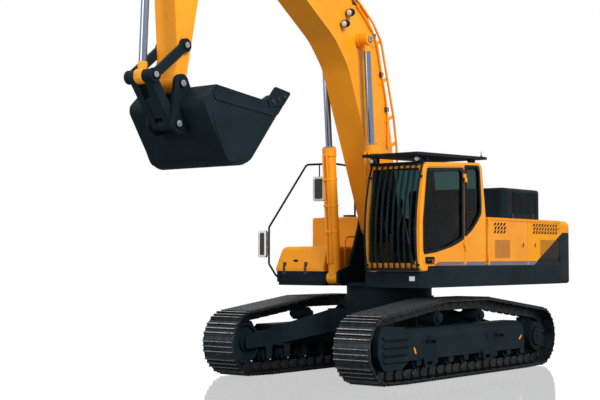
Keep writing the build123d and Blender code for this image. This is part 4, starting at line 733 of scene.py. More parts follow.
BAND = (1.6215, 1.679)
band_cab = (1.650, 1.679)
piece("band_housing", "upper", band_grey,
      [plate(((-0.492, BAND[0]), (-0.492, BAND[1]), (-2.047, BAND[1]), (-1.938, BAND[0])), 1.4865, 1.4895, flank(0, 1), 0.001),
       plate(((-0.430, BAND[0]), (0.118, BAND[0]), (0.118, BAND[1]), (-0.430, BAND[1])), 1.469, 1.4732, flank(0, 1), 0.001),
       plate(((0.118, BAND[0]), (1.000, BAND[0]), (0.960, 1.638), (0.118, 1.638)), 1.469, 1.4732, flank(0, 1), 0.001)])
piece("band_door", "cab_door", band_grey,
      [plate(((0.184, band_cab[0]), (0.965, band_cab[0]), (0.865, band_cab[1]), (0.184, band_cab[1])), 1.469, 1.4732, flank(0, 1), 0.001)])
white_trim, nodes, links, shader = new_finish("white_trim", (0.80, 0.80, 0.79), 0.45)
links.new(ramp(nodes, links, noise(nodes, links, 25, 4), ((0.3, (0.72, 0.72, 0.71)), (0.7, (0.84, 0.84, 0.83)))),
          shader.inputs["Base Color"])
bump(nodes, links, shader, noise(nodes, links, 300, 3), 0.15, 0.0003)
piece("band_separators", "upper", white_trim,
      [plate(((x - 0.005, BAND[0]), (x + 0.005, BAND[0]), (x + 0.005, BAND[1]), (x - 0.005, BAND[1])), 1.489, 1.4905, flank(0, 1), 0.0005)
       for x in (-0.514, -1.728)])

# Engine hood: side grilles of level slats between uprights, and a pressed rib
hood_low, hood_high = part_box("engine_hood")
GRILLE = (-2.742, -1.961, 2.475, 2.800)
for hand, tag in ((1, "left"), (-1, "right")):
    face = hood_high[1] if hand > 0 else -hood_low[1]
    plane = flank(hand * face, hand)
    x0, x1, z0, z1 = GRILLE
    backing = plate(((x0, z0), (x1, z0), (x1, z1), (x0, z1)), -0.002, 0.003, plane, 0.001)
    slats = [plate(oblong(((x0 + x1) / 2, z), x1 - x0 - 0.03, 0.010, 0.004, 3), 0.002, 0.011, plane, 0.002)
             for z in np.linspace(z0 + 0.020, z1 - 0.020, 15)]
    posts = [plate(oblong((x, (z0 + z1) / 2), 0.016, z1 - z0, 0.005, 3), 0.002, 0.013, plane, 0.002)
             for x in np.linspace(x0 + 0.008, x1 - 0.008, 4)]
    frame_bars = [plate(oblong(((x0 + x1) / 2, z), x1 - x0 + 0.016, 0.016, 0.005, 3), 0.002, 0.013, plane, 0.002) for z in (z0, z1)]
    piece(f"hood_grille_shade_{tag}", "engine_hood", gasket_and_painted_shade, [backing])
    piece(f"hood_grille_{tag}", "engine_hood", charcoal_enamel, slats + posts + frame_bars)
    piece(f"hood_rib_{tag}", "engine_hood", charcoal_enamel,
          [plate(oblong((-1.772, 2.62), 0.022, 0.44, 0.01, 4), -0.002, 0.006, plane, 0.004)])


def ring_of(radius, count=48):
    """A circle about the plane's own centre."""
    turn = np.arange(count) * 2 * np.pi / count
    return np.stack((radius * np.cos(turn), radius * np.sin(turn)), 1)


def curved(stations, steps):
    """A smooth run through stations: Catmull-Rom, q(t) = ((2p1) + (p2-p0)t + (2p0-5p1+4p2-p3)t^2 + (3p1-p0-3p2+p3)t^3) / 2."""
    points = np.array([stations[0], *stations, stations[-1]], float)
    t = (np.arange(steps) / steps)[:, None]
    runs = [(2 * b + (c - a) * t + (2 * a - 5 * b + 4 * c - d) * t ** 2 + (3 * b - a - 3 * c + d) * t ** 3) / 2
            for a, b, c, d in zip(points, points[1:], points[2:], points[3:])]
    return np.concatenate(runs + [points[-1:]])


# Cab: black panels round the glass, frames, handle, lamps, and what shows inside

CAB_FOOT_X, CAB_BROW_X, CAB_ROOF_REAR_X = 1.362, 1.240, -0.345
CAB_FLOOR_Z, CAB_WAIST_Z, CAB_TOP_Z = 1.540, 2.250, 3.170
ROOF_FALL = 0.085


def roof_height(x):
    """The roof falls evenly from its rear edge to the brow."""
    return CAB_TOP_Z - ROOF_FALL * (x - CAB_ROOF_REAR_X) / (CAB_BROW_X - CAB_ROOF_REAR_X)


def cab_face(z):
    """Front of the cab: 8 mm forward up to the waist, then back in a straight line to the brow."""
    waist = CAB_FOOT_X + 0.008
    lower = CAB_FOOT_X + 0.008 * (z - CAB_FLOOR_Z) / (CAB_WAIST_Z - CAB_FLOOR_Z)
    upper = waist - (waist - CAB_BROW_X) * (z - CAB_WAIST_Z) / (roof_height(CAB_BROW_X) - CAB_WAIST_Z)
    return np.where(np.asarray(z) < CAB_WAIST_Z, lower, upper)


DOOR_POST, DOOR_FRAME, DOOR_REAR = 0.056, 0.060, 0.175
door_head = roof_height(CAB_BROW_X) - DOOR_POST - 0.006
glass_head = door_head - DOOR_FRAME
edge = DOOR_POST + DOOR_FRAME
door_window = filleted(((DOOR_REAR + DOOR_FRAME, 2.033, 0.05), (0.700, 1.880, 0.9), (cab_face(1.808) - edge, 1.808, 0.06),
                        (cab_face(2.25) - edge, 2.25, 3.5), (cab_face(glass_head) - edge, glass_head, 0.05),
                        (DOOR_REAR + DOOR_FRAME, roof_height(DOOR_REAR) - edge, 0.05)))
door_panel = rounded(((0.1795, 2.012), (0.361, 1.945), (0.582, 1.885), (0.958, 1.812), (1.292, 1.778), (1.296, 2.25),
                      (cab_face(2.97) - 0.066, 2.97), (cab_face(3.0) - 0.078, 3.010), (0.1795, 3.066)), 0.03)
quarter_window = filleted(((0.125, 2.078, 0.04), (-0.070, 2.200, 0.35), (-0.285, 2.418, 0.16), (-0.240, 3.104, 0.09),
                           (0.125, roof_height(0.125) - 0.066, 0.04)))
quarter_panel = rounded(((0.1715, 2.028), (-0.038, 2.140), (-0.214, 2.286), (-0.318, 2.400), (-0.322, 2.604), (-0.298, 2.829),
                         (-0.272, 3.090), (-0.240, 3.122), (0.1715, 3.106)), 0.03)
cab_side = flank(CAB_SIDE)
piece("door_black_panel", "cab_door", panel_black, [border(door_panel, door_window, (0.75, 2.45), 0.004, cab_side)])
piece("quarter_black_panel", "upper", panel_black, [border(quarter_panel, quarter_window, (-0.06, 2.62), 0.004, cab_side)])
piece("door_gasket", "cab_door", gasket_and_painted_shade,
      [border(spokes(door_window, (0.75, 2.45)), (spokes(door_window, (0.75, 2.45)) - (0.75, 2.45)) * 0.975 + (0.75, 2.45),
              (0.75, 2.45), 0.052, flank(CAB_SIDE - 0.045))])
piece("quarter_gasket", "upper", gasket_and_painted_shade,
      [border(spokes(quarter_window, (-0.06, 2.62)), (spokes(quarter_window, (-0.06, 2.62)) - (-0.06, 2.62)) * 0.95 + (-0.06, 2.62),
              (-0.06, 2.62), 0.052, flank(CAB_SIDE - 0.045))])
right_window = filleted(((-0.330, 2.250, 0.08), (1.210, 2.020, 0.08), (CAB_BROW_X - 0.075, roof_height(CAB_BROW_X) - 0.075, 0.08),
                         (-0.230, 3.095, 0.08)))
right_middle = (0.45, 2.62)
right_outer = (spokes(right_window, right_middle) - right_middle) * 1.06 + right_middle
piece("right_window_gasket", "upper", gasket_and_painted_shade,
      [border(right_outer, spokes(right_window, right_middle), right_middle, 0.005, flank(0.510, -1))])

# Windscreen frame on the leaning front: outlines in (across, up), c out along x
ahead = (np.array((0.0, 0, 0)), np.array((0, 1.0, 0)), np.array((0, 0, 1.0)), np.array((1.0, 0, 0)))
screen = rounded(((0.580, 1.660), (1.400, 1.660), (1.400, 3.010), (0.580, 3.010)), 0.03)
screen_outer = rounded(((0.536, 1.600), (1.430, 1.600), (1.430, 3.045), (0.536, 3.045)), 0.05)
piece("windscreen_frame", "upper", yellow_enamel, [border(screen_outer, screen, (0.99, 2.33), 0.006, ahead, cab_face)])
rear_screen = rounded(((0.600, 2.440), (1.380, 2.440), (1.380, 3.070), (0.600, 3.070)), 0.02)
behind = (np.array((-0.452, 0, 0)), np.array((0, 1.0, 0)), np.array((0, 0, 1.0)), np.array((-1.0, 0, 0)))
cab_rear_lean = lambda z: -0.115 * (z - 2.35) / 0.82
piece("rear_window_gasket", "upper", gasket_and_painted_shade,
      [border(rounded(((0.57, 2.41), (1.41, 2.41), (1.41, 3.10), (0.57, 3.10)), 0.04), rear_screen, (0.99, 2.75), 0.012, behind,
              cab_rear_lean)])
wiper = [pipe([(cab_face(z) + 0.020, y, z) for z, y in ((1.66, 1.36), (2.0, 1.28), (2.45, 1.17))], 0.008),
         pipe([(cab_face(z) + 0.016, y, z) for z, y in ((2.05, 1.10), (2.45, 1.17), (2.85, 1.24))], 0.007),
         turned(((0.024, -0.004), (0.024, 0.022), (0.018, 0.028)), (np.array((cab_face(1.66), 0, 0)),) + ahead[1:], (1.36, 1.66), 16)]
piece("windscreen_wiper", "upper", black_plastic, wiper)

# Door handle in its recess, and lock
piece("door_handle_recess", "cab_door", gasket_and_painted_shade,
      [plate(rounded(((1.006, 1.735), (1.018, 1.660), (1.222, 1.660), (1.236, 1.735)), 0.02), -0.030, -0.022, cab_side, 0.001),
       border(rounded(((0.990, 1.748), (1.004, 1.650), (1.236, 1.650), (1.250, 1.748)), 0.03),
              rounded(((1.006, 1.733), (1.018, 1.664), (1.220, 1.664), (1.232, 1.733)), 0.02), (1.12, 1.70), 0.004, cab_side)])
piece("door_handle", "cab_door", black_plastic,
      [plate(oblong((1.115, 1.706), 0.150, 0.026, 0.012, 5), -0.012, 0.004, cab_side, 0.004),
       plate(oblong((1.062, 1.706), 0.020, 0.026, 0.006, 4), -0.026, -0.008, cab_side, 0.002),
       plate(oblong((1.170, 1.706), 0.020, 0.026, 0.006, 4), -0.026, -0.008, cab_side, 0.002)])
piece("door_lock", "cab_door", bare_steel,
      [turned(((0.012, -0.001), (0.012, 0.004), (0.009, 0.005)), cab_side, (0.945, 1.712), 20)])

# Two lamps that shine forward and one that shines back, and the antenna
lamp_places = ((1.30, 1.375, 3.135, 1), (1.30, 0.60, 3.135, 1), (-0.30, 1.30, 3.205, -1))
housings, lenses = [], []
for x, y, z, way in lamp_places:
    facing = (np.array((x, y, z)), np.array((0, 1.0, 0)), np.array((0, 0, 1.0)), np.array((float(way), 0, 0)))
    housings.append(turned(((0.018, -0.060), (0.036, -0.048), (0.042, -0.010), (0.042, 0.004), (0.036, 0.006)), facing, sides=24))
    lenses.append(turned(((0.034, 0.003), (0.030, 0.009), (0.012, 0.0115)), facing, sides=24))
piece("cab_lamp_housings", "upper", black_plastic, housings)
piece("cab_lamp_lenses", "upper", lamp_glass, lenses)
ANTENNA_X, ANTENNA_Y = -0.440, 1.400
ROOF_GUARD_TOP = 3.2635
piece("antenna", "upper", black_plastic,
      [turned(((0.022, -0.006), (0.024, 0.006), (0.012, 0.020), (0.007, 0.028), (0.005, 0.080), (0.003, 0.084)),
              level_at((ANTENNA_X, ANTENNA_Y, ROOF_GUARD_TOP)))])

# Driver's place
seat_low, seat_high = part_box("driver_seat")
SEAT_MIDDLE_Y = (seat_low[1] + seat_high[1]) / 2
seat_front, seat_rear = seat_high[0] - SWING_X, seat_low[0] - SWING_X
seat_base_z, seat_top_z = seat_low[2], seat_high[2]
seat_parts = {
    "seat_cushion": ((seat_front - 0.265, SEAT_MIDDLE_Y, seat_base_z + 0.46), (0.52, 0.50, 0.13)),
    "seat_back": ((seat_rear + 0.110, SEAT_MIDDLE_Y, seat_base_z + 0.78), (0.13, 0.48, 0.56)),
    "seat_headrest": ((seat_rear + 0.085, SEAT_MIDDLE_Y, seat_top_z - 0.085), (0.09, 0.27, 0.16)),
}
for name, (centre, size) in seat_parts.items():
    points, faces = puffed((0, 0, 0), (1, 1, 1), 0.42, 26, 40)
    unit = points * 2
    if name == "seat_cushion":
        groove = 0.10 * np.exp(-((np.abs(unit[:, 1]) - 0.62) / 0.05) ** 2) + 0.06 * np.exp(-(unit[:, 0] / 0.05) ** 2)
        points[:, 2] -= np.sign(points[:, 2]) * (unit[:, 2] > 0.5) * groove
    if name == "seat_back":
        groove = 0.10 * np.exp(-((np.abs(unit[:, 1]) - 0.62) / 0.05) ** 2) + 0.06 * np.exp(-((np.abs(unit[:, 2]) - 0.3) / 0.05) ** 2)
        points[:, 0] -= np.sign(points[:, 0]) * (unit[:, 0] > 0.5) * groove
    piece(name, "upper", seat_cloth, [(points * np.array(size) + centre, faces)], 180)
seat_frame = [slab((seat_rear + 0.12, seat_front - 0.06), (SEAT_MIDDLE_Y - 0.20, SEAT_MIDDLE_Y + 0.20), (seat_base_z, seat_base_z + 0.05), 0.01),
              slab((seat_rear + 0.16, seat_front - 0.12), (SEAT_MIDDLE_Y - 0.15, SEAT_MIDDLE_Y + 0.15), (seat_base_z + 0.05, seat_base_z + 0.30), 0.03),
              slab((seat_rear + 0.08, seat_front - 0.04), (SEAT_MIDDLE_Y - 0.23, SEAT_MIDDLE_Y + 0.23), (seat_base_z + 0.30, seat_base_z + 0.40), 0.03),
              slab((seat_rear + 0.02, seat_rear + 0.07), (SEAT_MIDDLE_Y - 0.20, SEAT_MIDDLE_Y + 0.20), (seat_base_z + 0.44, seat_top_z - 0.22), 0.02)]
piece("seat_frame","upper", black_plastic, seat_frame)
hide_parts("driver_seat")
stalks = [pipe(bent([(seat_rear + 0.06, SEAT_MIDDLE_Y + k, seat_top_z - 0.26), (seat_rear + 0.075, SEAT_MIDDLE_Y + k, seat_top_z - 0.12),
                     (seat_rear + 0.08, SEAT_MIDDLE_Y + k, seat_top_z - 0.08)], 0.03), 0.007) for k in (-0.06, 0.06)]
piece("headrest_stalks", "upper", bare_steel, stalks)

console_low, console_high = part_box("control_consoles")
lever_x = console_high[0] - SWING_X - 0.10
for hand, tag in ((1, "left"), (-1, "right")):
    y = (console_high[1] - 0.09) if hand > 0 else (console_low[1] + 0.09)
    z = console_high[2]
    stick = turned(((0.030, -0.01), (0.034, 0.02), (0.020, 0.04), (0.012, 0.06), (0.012, 0.12), (0.022, 0.14),
                    (0.026, 0.20), (0.022, 0.25), (0.010, 0.268)), level_at((lever_x, y, z)))
    piece(f"joystick_{tag}", "upper", black_plastic, [stick])
travel = [pipe(bent([(1.16, y, 1.605), (1.12, y, 1.80), (1.02, y, 2.12)], 0.06), 0.011) for y in (0.89, 1.03)]
pedals = [slab((1.10, 1.26), (y - 0.06, y + 0.06), (1.612, 1.632), 0.006) for y in (0.89, 1.03)]
piece("travel_levers", "upper", black_plastic, travel + pedals)
piece("safety_lever", "upper", red_knob,
      [turned(((0.008, 0.0), (0.010, 0.01), (0.010, 0.16), (0.020, 0.18), (0.022, 0.21), (0.012, 0.23)),
              level_at((lever_x + 0.03, console_high[1] - 0.02, console_high[2] - 0.06)), sides=16)])
screen_plane = (np.array((1.16, 0.66, 2.05)), np.array((0, 1.0, 0)), np.array((0.25, 0, 0.97)), np.array((-0.97, 0, 0.25)))
piece("monitor", "upper", black_plastic,
      [plate(oblong((0, 0), 0.24, 0.18, 0.02), -0.02, 0.03, screen_plane, 0.006),
       pipe([(1.17, 0.66, 1.61), (1.18, 0.66, 1.85), (1.17, 0.66, 2.0)], 0.014)])
piece("monitor_glass", "upper", panel_black, [plate(oblong((0, 0), 0.20, 0.14, 0.01), 0.028, 0.033, screen_plane, 0.001)])

# Mirrors: bright rims, glass on the driver's side, shells with a pressed step
MIRRORS = (((1.235, -1.525, 1.950), 0.160, 0.420), ((0.802, -0.747, 2.800), 0.220, 0.380))
rims, glasses, backs = [], [], []
for (x, y, z), width, height in MIRRORS:
    front = (np.array((x + 0.019, y, z)), np.array((0, 1.0, 0)), np.array((0, 0, 1.0)), np.array((1.0, 0, 0)))
    rear = (np.array((x - 0.019, y, z)), np.array((0, 1.0, 0)), np.array((0, 0, 1.0)), np.array((-1.0, 0, 0)))
    outer = oblong((0, 0), width, height, 0.045, 6)
    rims.append(border(outer, oblong((0, 0), width - 0.066, height - 0.072, 0.026, 6), (0, 0), 0.009, front))
    rims.append(border(outer, oblong((0, 0), width - 0.020, height - 0.020, 0.038, 6), (0, 0), 0.005, rear))
    backs.append(plate(oblong((0, 0), width - 0.07, height - 0.08, 0.03, 5), 0.0, 0.006, front, 0.004))
    glasses.append(plate(oblong((0, 0), width - 0.022, height - 0.022, 0.036, 5), 0.0, 0.002, rear, 0.0005))
piece("mirror_rims", "upper", white_trim, rims)
piece("mirror_backs", "upper", black_plastic, backs)
piece("mirror_glasses", "upper", mirror_glass, glasses)

# Tool box: two latches over the seam and a dark slot, a plate of painted shade for the slot's opening
latch_parts = []
for y in (-1.32, -0.90):
    latch_plane = (np.array((0.957, y, 0)), np.array((0, 1.0, 0)), np.array((0, 0, 1.0)), np.array((1.0, 0, 0)))
    latch_parts += [plate(oblong((0, 1.500), 0.060, 0.036, 0.008), -0.004, 0.013, latch_plane, 0.003),
                    plate(oblong((0, 1.565), 0.034, 0.110, 0.010), 0.006, 0.022, latch_plane, 0.004),
                    plate(oblong((0, 1.640), 0.056, 0.060, 0.014), -0.024, 0.004, latch_plane, 0.004)]
piece("tool_box_latches", "tool_box_lid", black_plastic, latch_parts[1::3] + latch_parts[2::3])
piece("tool_box_keepers", "upper", black_plastic, latch_parts[0::3])
slot_plane = (np.array((0.938, -1.11, 0)), np.array((0, 1.0, 0)), np.array((0, 0, 1.0)), np.array((1.0, 0, 0)))
# The slot is a near-black plate: painted shade.
piece("tool_box_slot", "tool_box_lid", gasket_and_painted_shade, [plate(oblong((0, 1.690), 0.085, 0.036, 0.014), -0.012, 0.004, slot_plane, 0.002)])

# Tanks: filler caps
caps = []
for node in ("fuel_tank", "hydraulic_tank"):
    low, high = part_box(node)
    up = level_at(((low[0] + high[0]) / 2 - SWING_X, -1.0, high[2]))
    caps.append(turned(((0.086, -0.030), (0.094, -0.026), (0.094, -0.002), (0.086, 0.002), (0.040, 0.003)), up, sides=36))
piece("filler_caps", "upper", black_plastic, caps)


# Boom, arm and cylinders: pin caps, rod eyes, tubes along the barrels, lamps

BOOM_FOOT, BOOM_ANGLE = (0.250, 2.250), 48.2
BOOM_TIP, BUCKET_PIN = (4.5825, 7.0956), (4.8614, 3.9078)
PINS = {   # body: (x, z), outer face either side, cap radius
    "boom": (((BOOM_FOOT), 0.310, 0.052), (BOOM_TIP, 0.265, 0.052), ((1.3384, 5.8377), 0.151, 0.040), ((1.1326, 4.9580), 0.468, 0.0495)),
    "upper": (((0.878, 1.430), 0.532, 0.040),),
    "arm": (((4.6949, 8.0389), 0.194, 0.040), ((5.1833, 6.9976), 0.141, 0.036), ((4.7874, 4.3972), 0.250, 0.038),
            (BUCKET_PIN, 0.256, 0.042)),
    "bucket": (((4.9311, 3.3979), 0.256, 0.042),),
    "idler_links": (((5.3270, 3.9666), 0.250, 0.038),),
}
for body, pins in PINS.items():
    caps, washers = [], []
    for centre, face, radius in pins:
        for hand in (1, -1):
            side_plane = flank(hand * face, hand)
            caps.append(turned(((radius, -0.012), (radius, 0.006), (radius - 0.005, 0.009), (radius * 0.55, 0.009),
                                (radius * 0.45, 0.006)), side_plane, centre, 28))
            caps.append(turned(((0.011, 0.004), (0.011, 0.012), (0.008, 0.014)), side_plane, centre, 6))
            washers.append(turned(((0.0545, -0.012), (0.0545, 0.003), (0.0515, 0.005)), side_plane, centre, 40))
            for turn in (35, 215):
                place = (centre[0] + radius * 0.72 * np.cos(np.radians(turn)), centre[1] + radius * 0.72 * np.sin(np.radians(turn)))
                caps.append(turned(((0.006, 0.006), (0.006, 0.013), (0.004, 0.014)), side_plane, place, 6))
    piece(f"pin_caps_{body}", body, pin_grey, caps, 35)
    piece(f"pin_washers_{body}", body, yellow_enamel if body in ("boom", "upper") else charcoal_enamel, washers, 35)

# body of the barrel and of the rod: barrel pin, angle, length, barrel radius, rod radius, travel in, middles in y, tube side
CYLINDERS = {
    "boom": ((0.878, 1.430), 85.9, 3.537, 0.096, 0.052, 1.370, (-0.392, 0.392), 1),
    "arm": ((1.3384, 5.8377), 33.3, 4.014, 0.100, 0.057, 1.500, (0.0,), 1),
    "bucket": ((5.1833, 6.9976), -87.3, 3.034, 0.090, 0.052, 1.100, (0.0,), 1),
}
BARREL_BODIES = {"boom": "boom_barrels", "arm": "arm_barrel", "bucket": "bucket_barrel"}
ROD_BODIES = {"boom": "boom_rods", "arm": "arm_rod", "bucket": "bucket_rod"}
EYE_HALF, EYE_RADIUS = 0.062, 0.092
REACH_X = cad_high[0] - SWING_X - 0.0002
for name, (pin, angle, length, barrel, rod, travel_in, middles, side) in CYLINDERS.items():
    along = np.array((np.cos(np.radians(angle)), 0, np.sin(np.radians(angle))))
    above = np.array((-along[2], 0, along[0]))
    gland = length - travel_in - 0.190
    eyes, tubes, clamps, bolts_round = [], [], [], []
    for y in middles:
        start = np.array((pin[0], y, pin[1]))
        eye = start + along * length
        level = (eye, along, above, np.array((0, 1.0, 0)))
        eyes.append(turned(((EYE_RADIUS - 0.002, -EYE_HALF - 0.003), (EYE_RADIUS + 0.006, -EYE_HALF + 0.004),
                            (EYE_RADIUS + 0.006, EYE_HALF - 0.004), (EYE_RADIUS - 0.002, EYE_HALF + 0.003)), level, (0, 0), 40))
        neck = (eye, np.array((0, 1.0, 0)), above, -along)
        eyes.append(turned(((EYE_HALF - 0.004, EYE_RADIUS - 0.03), (EYE_HALF - 0.004, EYE_RADIUS + 0.010), (rod + 0.010, EYE_RADIUS + 0.050),
                            (rod + 0.006, EYE_RADIUS + 0.085), (rod + 0.001, EYE_RADIUS + 0.087)), neck, (0, 0), 36))
        # Tube: out of the head, along the barrel on the side away from the machine, in near the foot
        off = barrel + 0.026
        ends = [(0.230, barrel - 0.012), (0.230, off), (gland - 0.105, off), (gland - 0.105, barrel - 0.012)]
        for shift in (-0.036, 0.036):
            path = [start + along * a + above * b * (-1 if name == "boom" else 1) + np.array((0, shift, 0)) for a, b in ends]
            tubes.append(pipe(bent(path, 0.035), 0.0125, 12))
        way = -1 if name == "boom" else 1
        for share in (0.28, 0.52, 0.76):
            middle = start + along * (0.230 + (gland - 0.335) * share)
            ring = (middle, np.array((0, 1.0, 0)), above * way, along)
            clamps.append(border(ring_of(barrel + 0.006), ring_of(barrel - 0.004), (0, 0), 0.036, ring))
            clamps.append(plate(oblong((0, off), 0.112, 0.034, 0.008), -0.002, 0.038, ring, 0.004))
        head = (start + along * (gland + 0.012), np.array((0, 1.0, 0)), above, along)
        for turn in range(0, 360, 45):
            place = ((barrel - 0.012) * np.cos(np.radians(turn)), (barrel - 0.012) * np.sin(np.radians(turn)))
            bolts_round.append(turned(((0.010, -0.006), (0.010, 0.008), (0.007, 0.010)), head, place, 6))
        bolts_round.append(turned(((rod + 0.016, -0.004), (rod + 0.016, 0.005), (rod + 0.002, 0.010)), head, (0, 0), 36))
    within = [np.minimum(points, (REACH_X, np.inf, np.inf)) for points, faces in eyes]   # no longer than the machine itself
    eyes = [(points, faces) for points, (_, faces) in zip(within, eyes)]
    piece(f"{name}_rod_eyes", ROD_BODIES[name], yellow_enamel, eyes)
    piece(f"{name}_cylinder_tubes", BARREL_BODIES[name], yellow_enamel, tubes)
    piece(f"{name}_tube_clamps", BARREL_BODIES[name], yellow_enamel, clamps)
    piece(f"{name}_gland_bolts", BARREL_BODIES[name], pin_grey, bolts_round, 35)


def boom_at(along, above):
    """A place beside the boom, measured along its axis from the foot pin and square to it."""
    turn = np.radians(BOOM_ANGLE)
    return (BOOM_FOOT[0] + along * np.cos(turn) - above * np.sin(turn), BOOM_FOOT[1] + along * np.sin(turn) + above * np.cos(turn))


LAMP_TILT = np.radians(12)
lamp_faces, lamp_rims = [], []
for station in ((3.070, 1.185), (3.017, 0.971)):
    x, z = boom_at(*station)
    beam = np.array((np.cos(LAMP_TILT), 0, -np.sin(LAMP_TILT)))
    front = (np.array((x - 0.040, 0.318, z + 0.008)) + beam * 0.095, np.array((0, 1.0, 0)), np.array((beam[2] * -1, 0, beam[0])), beam)
    lamp_faces.append(turned(((0.048, -0.001), (0.040, 0.007), (0.020, 0.011)), front, (0, 0), 32))
    lamp_rims.append(border(ring_of(0.058), ring_of(0.047), (0, 0), 0.006, front))
piece("boom_lamp_lenses", "boom", lamp_glass, lamp_faces)
piece("boom_lamp_rims", "boom", black_plastic, lamp_rims)
fascia_front = (np.array((1.3125, 0, 0)), np.array((0, 1.0, 0)), np.array((0, 0, 1.0)), np.array((1.0, 0, 0)))
piece("front_lamp_rim", "upper", black_plastic, [plate(oblong((1.30, 1.440), 0.110, 0.084, 0.014), -0.001, 0.010, fascia_front, 0.003)])
piece("front_lamp_lens", "upper", lamp_glass, [plate(oblong((1.30, 1.440), 0.090, 0.066, 0.010), 0.008, 0.014, fascia_front, 0.002)])

# Second run of pipe on the boom's left side, with its clamps
pipe_y = 0.262
upper_run = [boom_at(*station) for station in ((0.98, 0.66), (1.42, 1.03), (1.90, 1.27), (2.45, 1.50), (3.10, 1.43), (3.75, 1.30))]
piece("boom_upper_pipe", "boom", yellow_enamel,
      [pipe([(x, pipe_y + 0.006, z) for x, z in curved(upper_run, 9)], 0.014, 12)])
clamp_parts = [plate(oblong((x, z), 0.070, 0.070, 0.012), 0.0, 0.040, flank(0.240), 0.004)
               for x, z in (boom_at(*station) for station in ((1.42, 1.03), (1.90, 1.27), (2.45, 1.50), (3.10, 1.43), (3.66, 1.32)))]
piece("boom_pipe_clamps", "boom", black_plastic, clamp_parts)

# Bucket: bolts of the side cutters
bolt_places = [(-1.22, -0.15), (-1.335, -0.115), (-1.45, -0.07)]
cutter_bolts = []
for hand in (1, -1):
    for place in bolt_places:
        centre = (BUCKET_PIN[0] + place[0], BUCKET_PIN[1] + place[1])
        cutter_bolts.append(turned(((0.034, -0.003), (0.034, 0.004), (0.030, 0.006)), flank(hand * 0.693, hand), centre, 28))
        cutter_bolts.append(turned(((0.024, 0.003), (0.024, 0.018), (0.019, 0.022)), flank(hand * 0.693, hand), centre, 6))
piece("cutter_bolts", "bucket", track_steel, cutter_bolts, 35)

# Weld bead where the curled shell meets each side plate
bead = curved([(BUCKET_PIN[0] + a, BUCKET_PIN[1] + b) for a, b in ((-1.275, -0.285), (-1.06, -0.56), (-0.86, -0.80), (-0.74, -0.885),
                                                                   (-0.56, -0.955), (-0.42, -0.965), (-0.33, -0.90), (-0.21, -0.66),
                                                                   (-0.09, -0.40))], 8)
piece("bucket_weld_beads", "bucket", charcoal_enamel,
      [pipe([(x, hand * 0.6655, z) for x, z in bead], 0.010, 10) for hand in (1, -1)])

# Undercarriage: bolt rings on the final drives, hub and roller caps, grease specks, and recesses shown by plates of
# painted shade
for side, hand in (("left", 1), ("right", -1)):
    low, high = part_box(f"sprocket_{side}")
    face = high[1] if hand > 0 else -low[1]
    drive = (-2.170, 0.480)
    ring_bolts, recess_shades, specks = [], [], []
    for count, reach, size in ((12, 0.150, 0.013), (6, 0.072, 0.010)):
        for turn in np.arange(count) * 360 / count + 9:
            place = (drive[0] + reach * np.cos(np.radians(turn)), drive[1] + reach * np.sin(np.radians(turn)))
            ring_bolts.append(turned(((size, -0.012), (size, 0.010), (size * 0.75, 0.012)), flank(hand * face, hand), place, 6))
    ring_bolts.append(turned(((0.046, -0.004), (0.046, 0.006), (0.036, 0.012), (0.020, 0.013)), flank(hand * face, hand), drive, 32))
    piece(f"final_drive_bolts_{side}", "undercarriage", charcoal_enamel, ring_bolts, 35)
    low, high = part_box(f"carrier_rollers_{side}")
    face = high[1] if hand > 0 else -low[1]
    roller_caps = []
    for centre in ((0.700, 0.870), (-0.480, 0.870)):
        roller_caps.append(turned(((0.060, -0.010), (0.060, 0.004), (0.050, 0.010), (0.022, 0.010), (0.020, 0.006)),
                                  flank(hand * face, hand), centre, 32))
        for turn in (90, 210, 330):
            roller_caps.append(turned(((0.009, 0.004), (0.009, 0.016), (0.006, 0.018)), flank(hand * face, hand),
                                      (centre[0] + 0.040 * np.cos(np.radians(turn)), centre[1] + 0.040 * np.sin(np.radians(turn))), 6))
    piece(f"carrier_roller_caps_{side}", "undercarriage", charcoal_enamel, roller_caps, 35)
    outer = 1.195 + 0.205
    # Pressed ribs along the idler guard
    low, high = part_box(f"track_frame_{side}")
    guard = high[1] if hand > 0 else -low[1]
    ribs = [plate(rounded(((1.640, z - 0.030), (2.215, z - 0.030), (2.245, z), (2.215, z + 0.030), (1.640, z + 0.030)), 0.014), -0.010, 0.016,
                  flank(hand * guard, hand), 0.008) for z in (0.340, 0.442, 0.544, 0.646)]
    piece(f"idler_guard_ribs_{side}", "undercarriage", charcoal_enamel, ribs, 35)
    # Near-black plates on the frame's face: painted shade for the recesses.
    recess_places = ((1.047, 0.590), (-0.575, 0.560))
    for centre in recess_places:
        recess_shades.append(plate(oblong(centre, 0.090, 0.120, 0.030), -0.012, 0.0015, flank(hand * outer, hand), 0.0005))
    piece(f"frame_recesses_{side}", "undercarriage", gasket_and_painted_shade, recess_shades)
    for centre, turn in (((1.405, 0.440), 62), ((-1.610, 0.480), -35)):
        tilt = np.radians(turn)
        speck_plane = (np.array((centre[0], hand * outer, centre[1])), np.array((np.cos(tilt), 0, np.sin(tilt))),
                       np.array((-np.sin(tilt), 0, np.cos(tilt))) * hand, np.array((0, float(hand), 0)))
        specks.append(plate(oblong((0, 0), 0.100, 0.030, 0.010), -0.002, 0.004, speck_plane, 0.001))
    piece(f"grease_point_marks_{side}", "undercarriage", yellow_enamel, specks)

# Counterweight: lifting plugs
tail_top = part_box("counterweight")[1][2]
eyes = []
for y in (-0.62, 0.62):
    eyes.append(turned(((0.070, -0.010), (0.078, -0.006), (0.078, -0.002), (0.060, -0.0005)),
                       level_at((-3.20, y, tail_top)), sides=32))
piece("counterweight_lifting_plugs", "upper", black_plastic, eyes)

# Tread mats with studs, where people walk on the tanks and behind the cab; latches of the engine hood


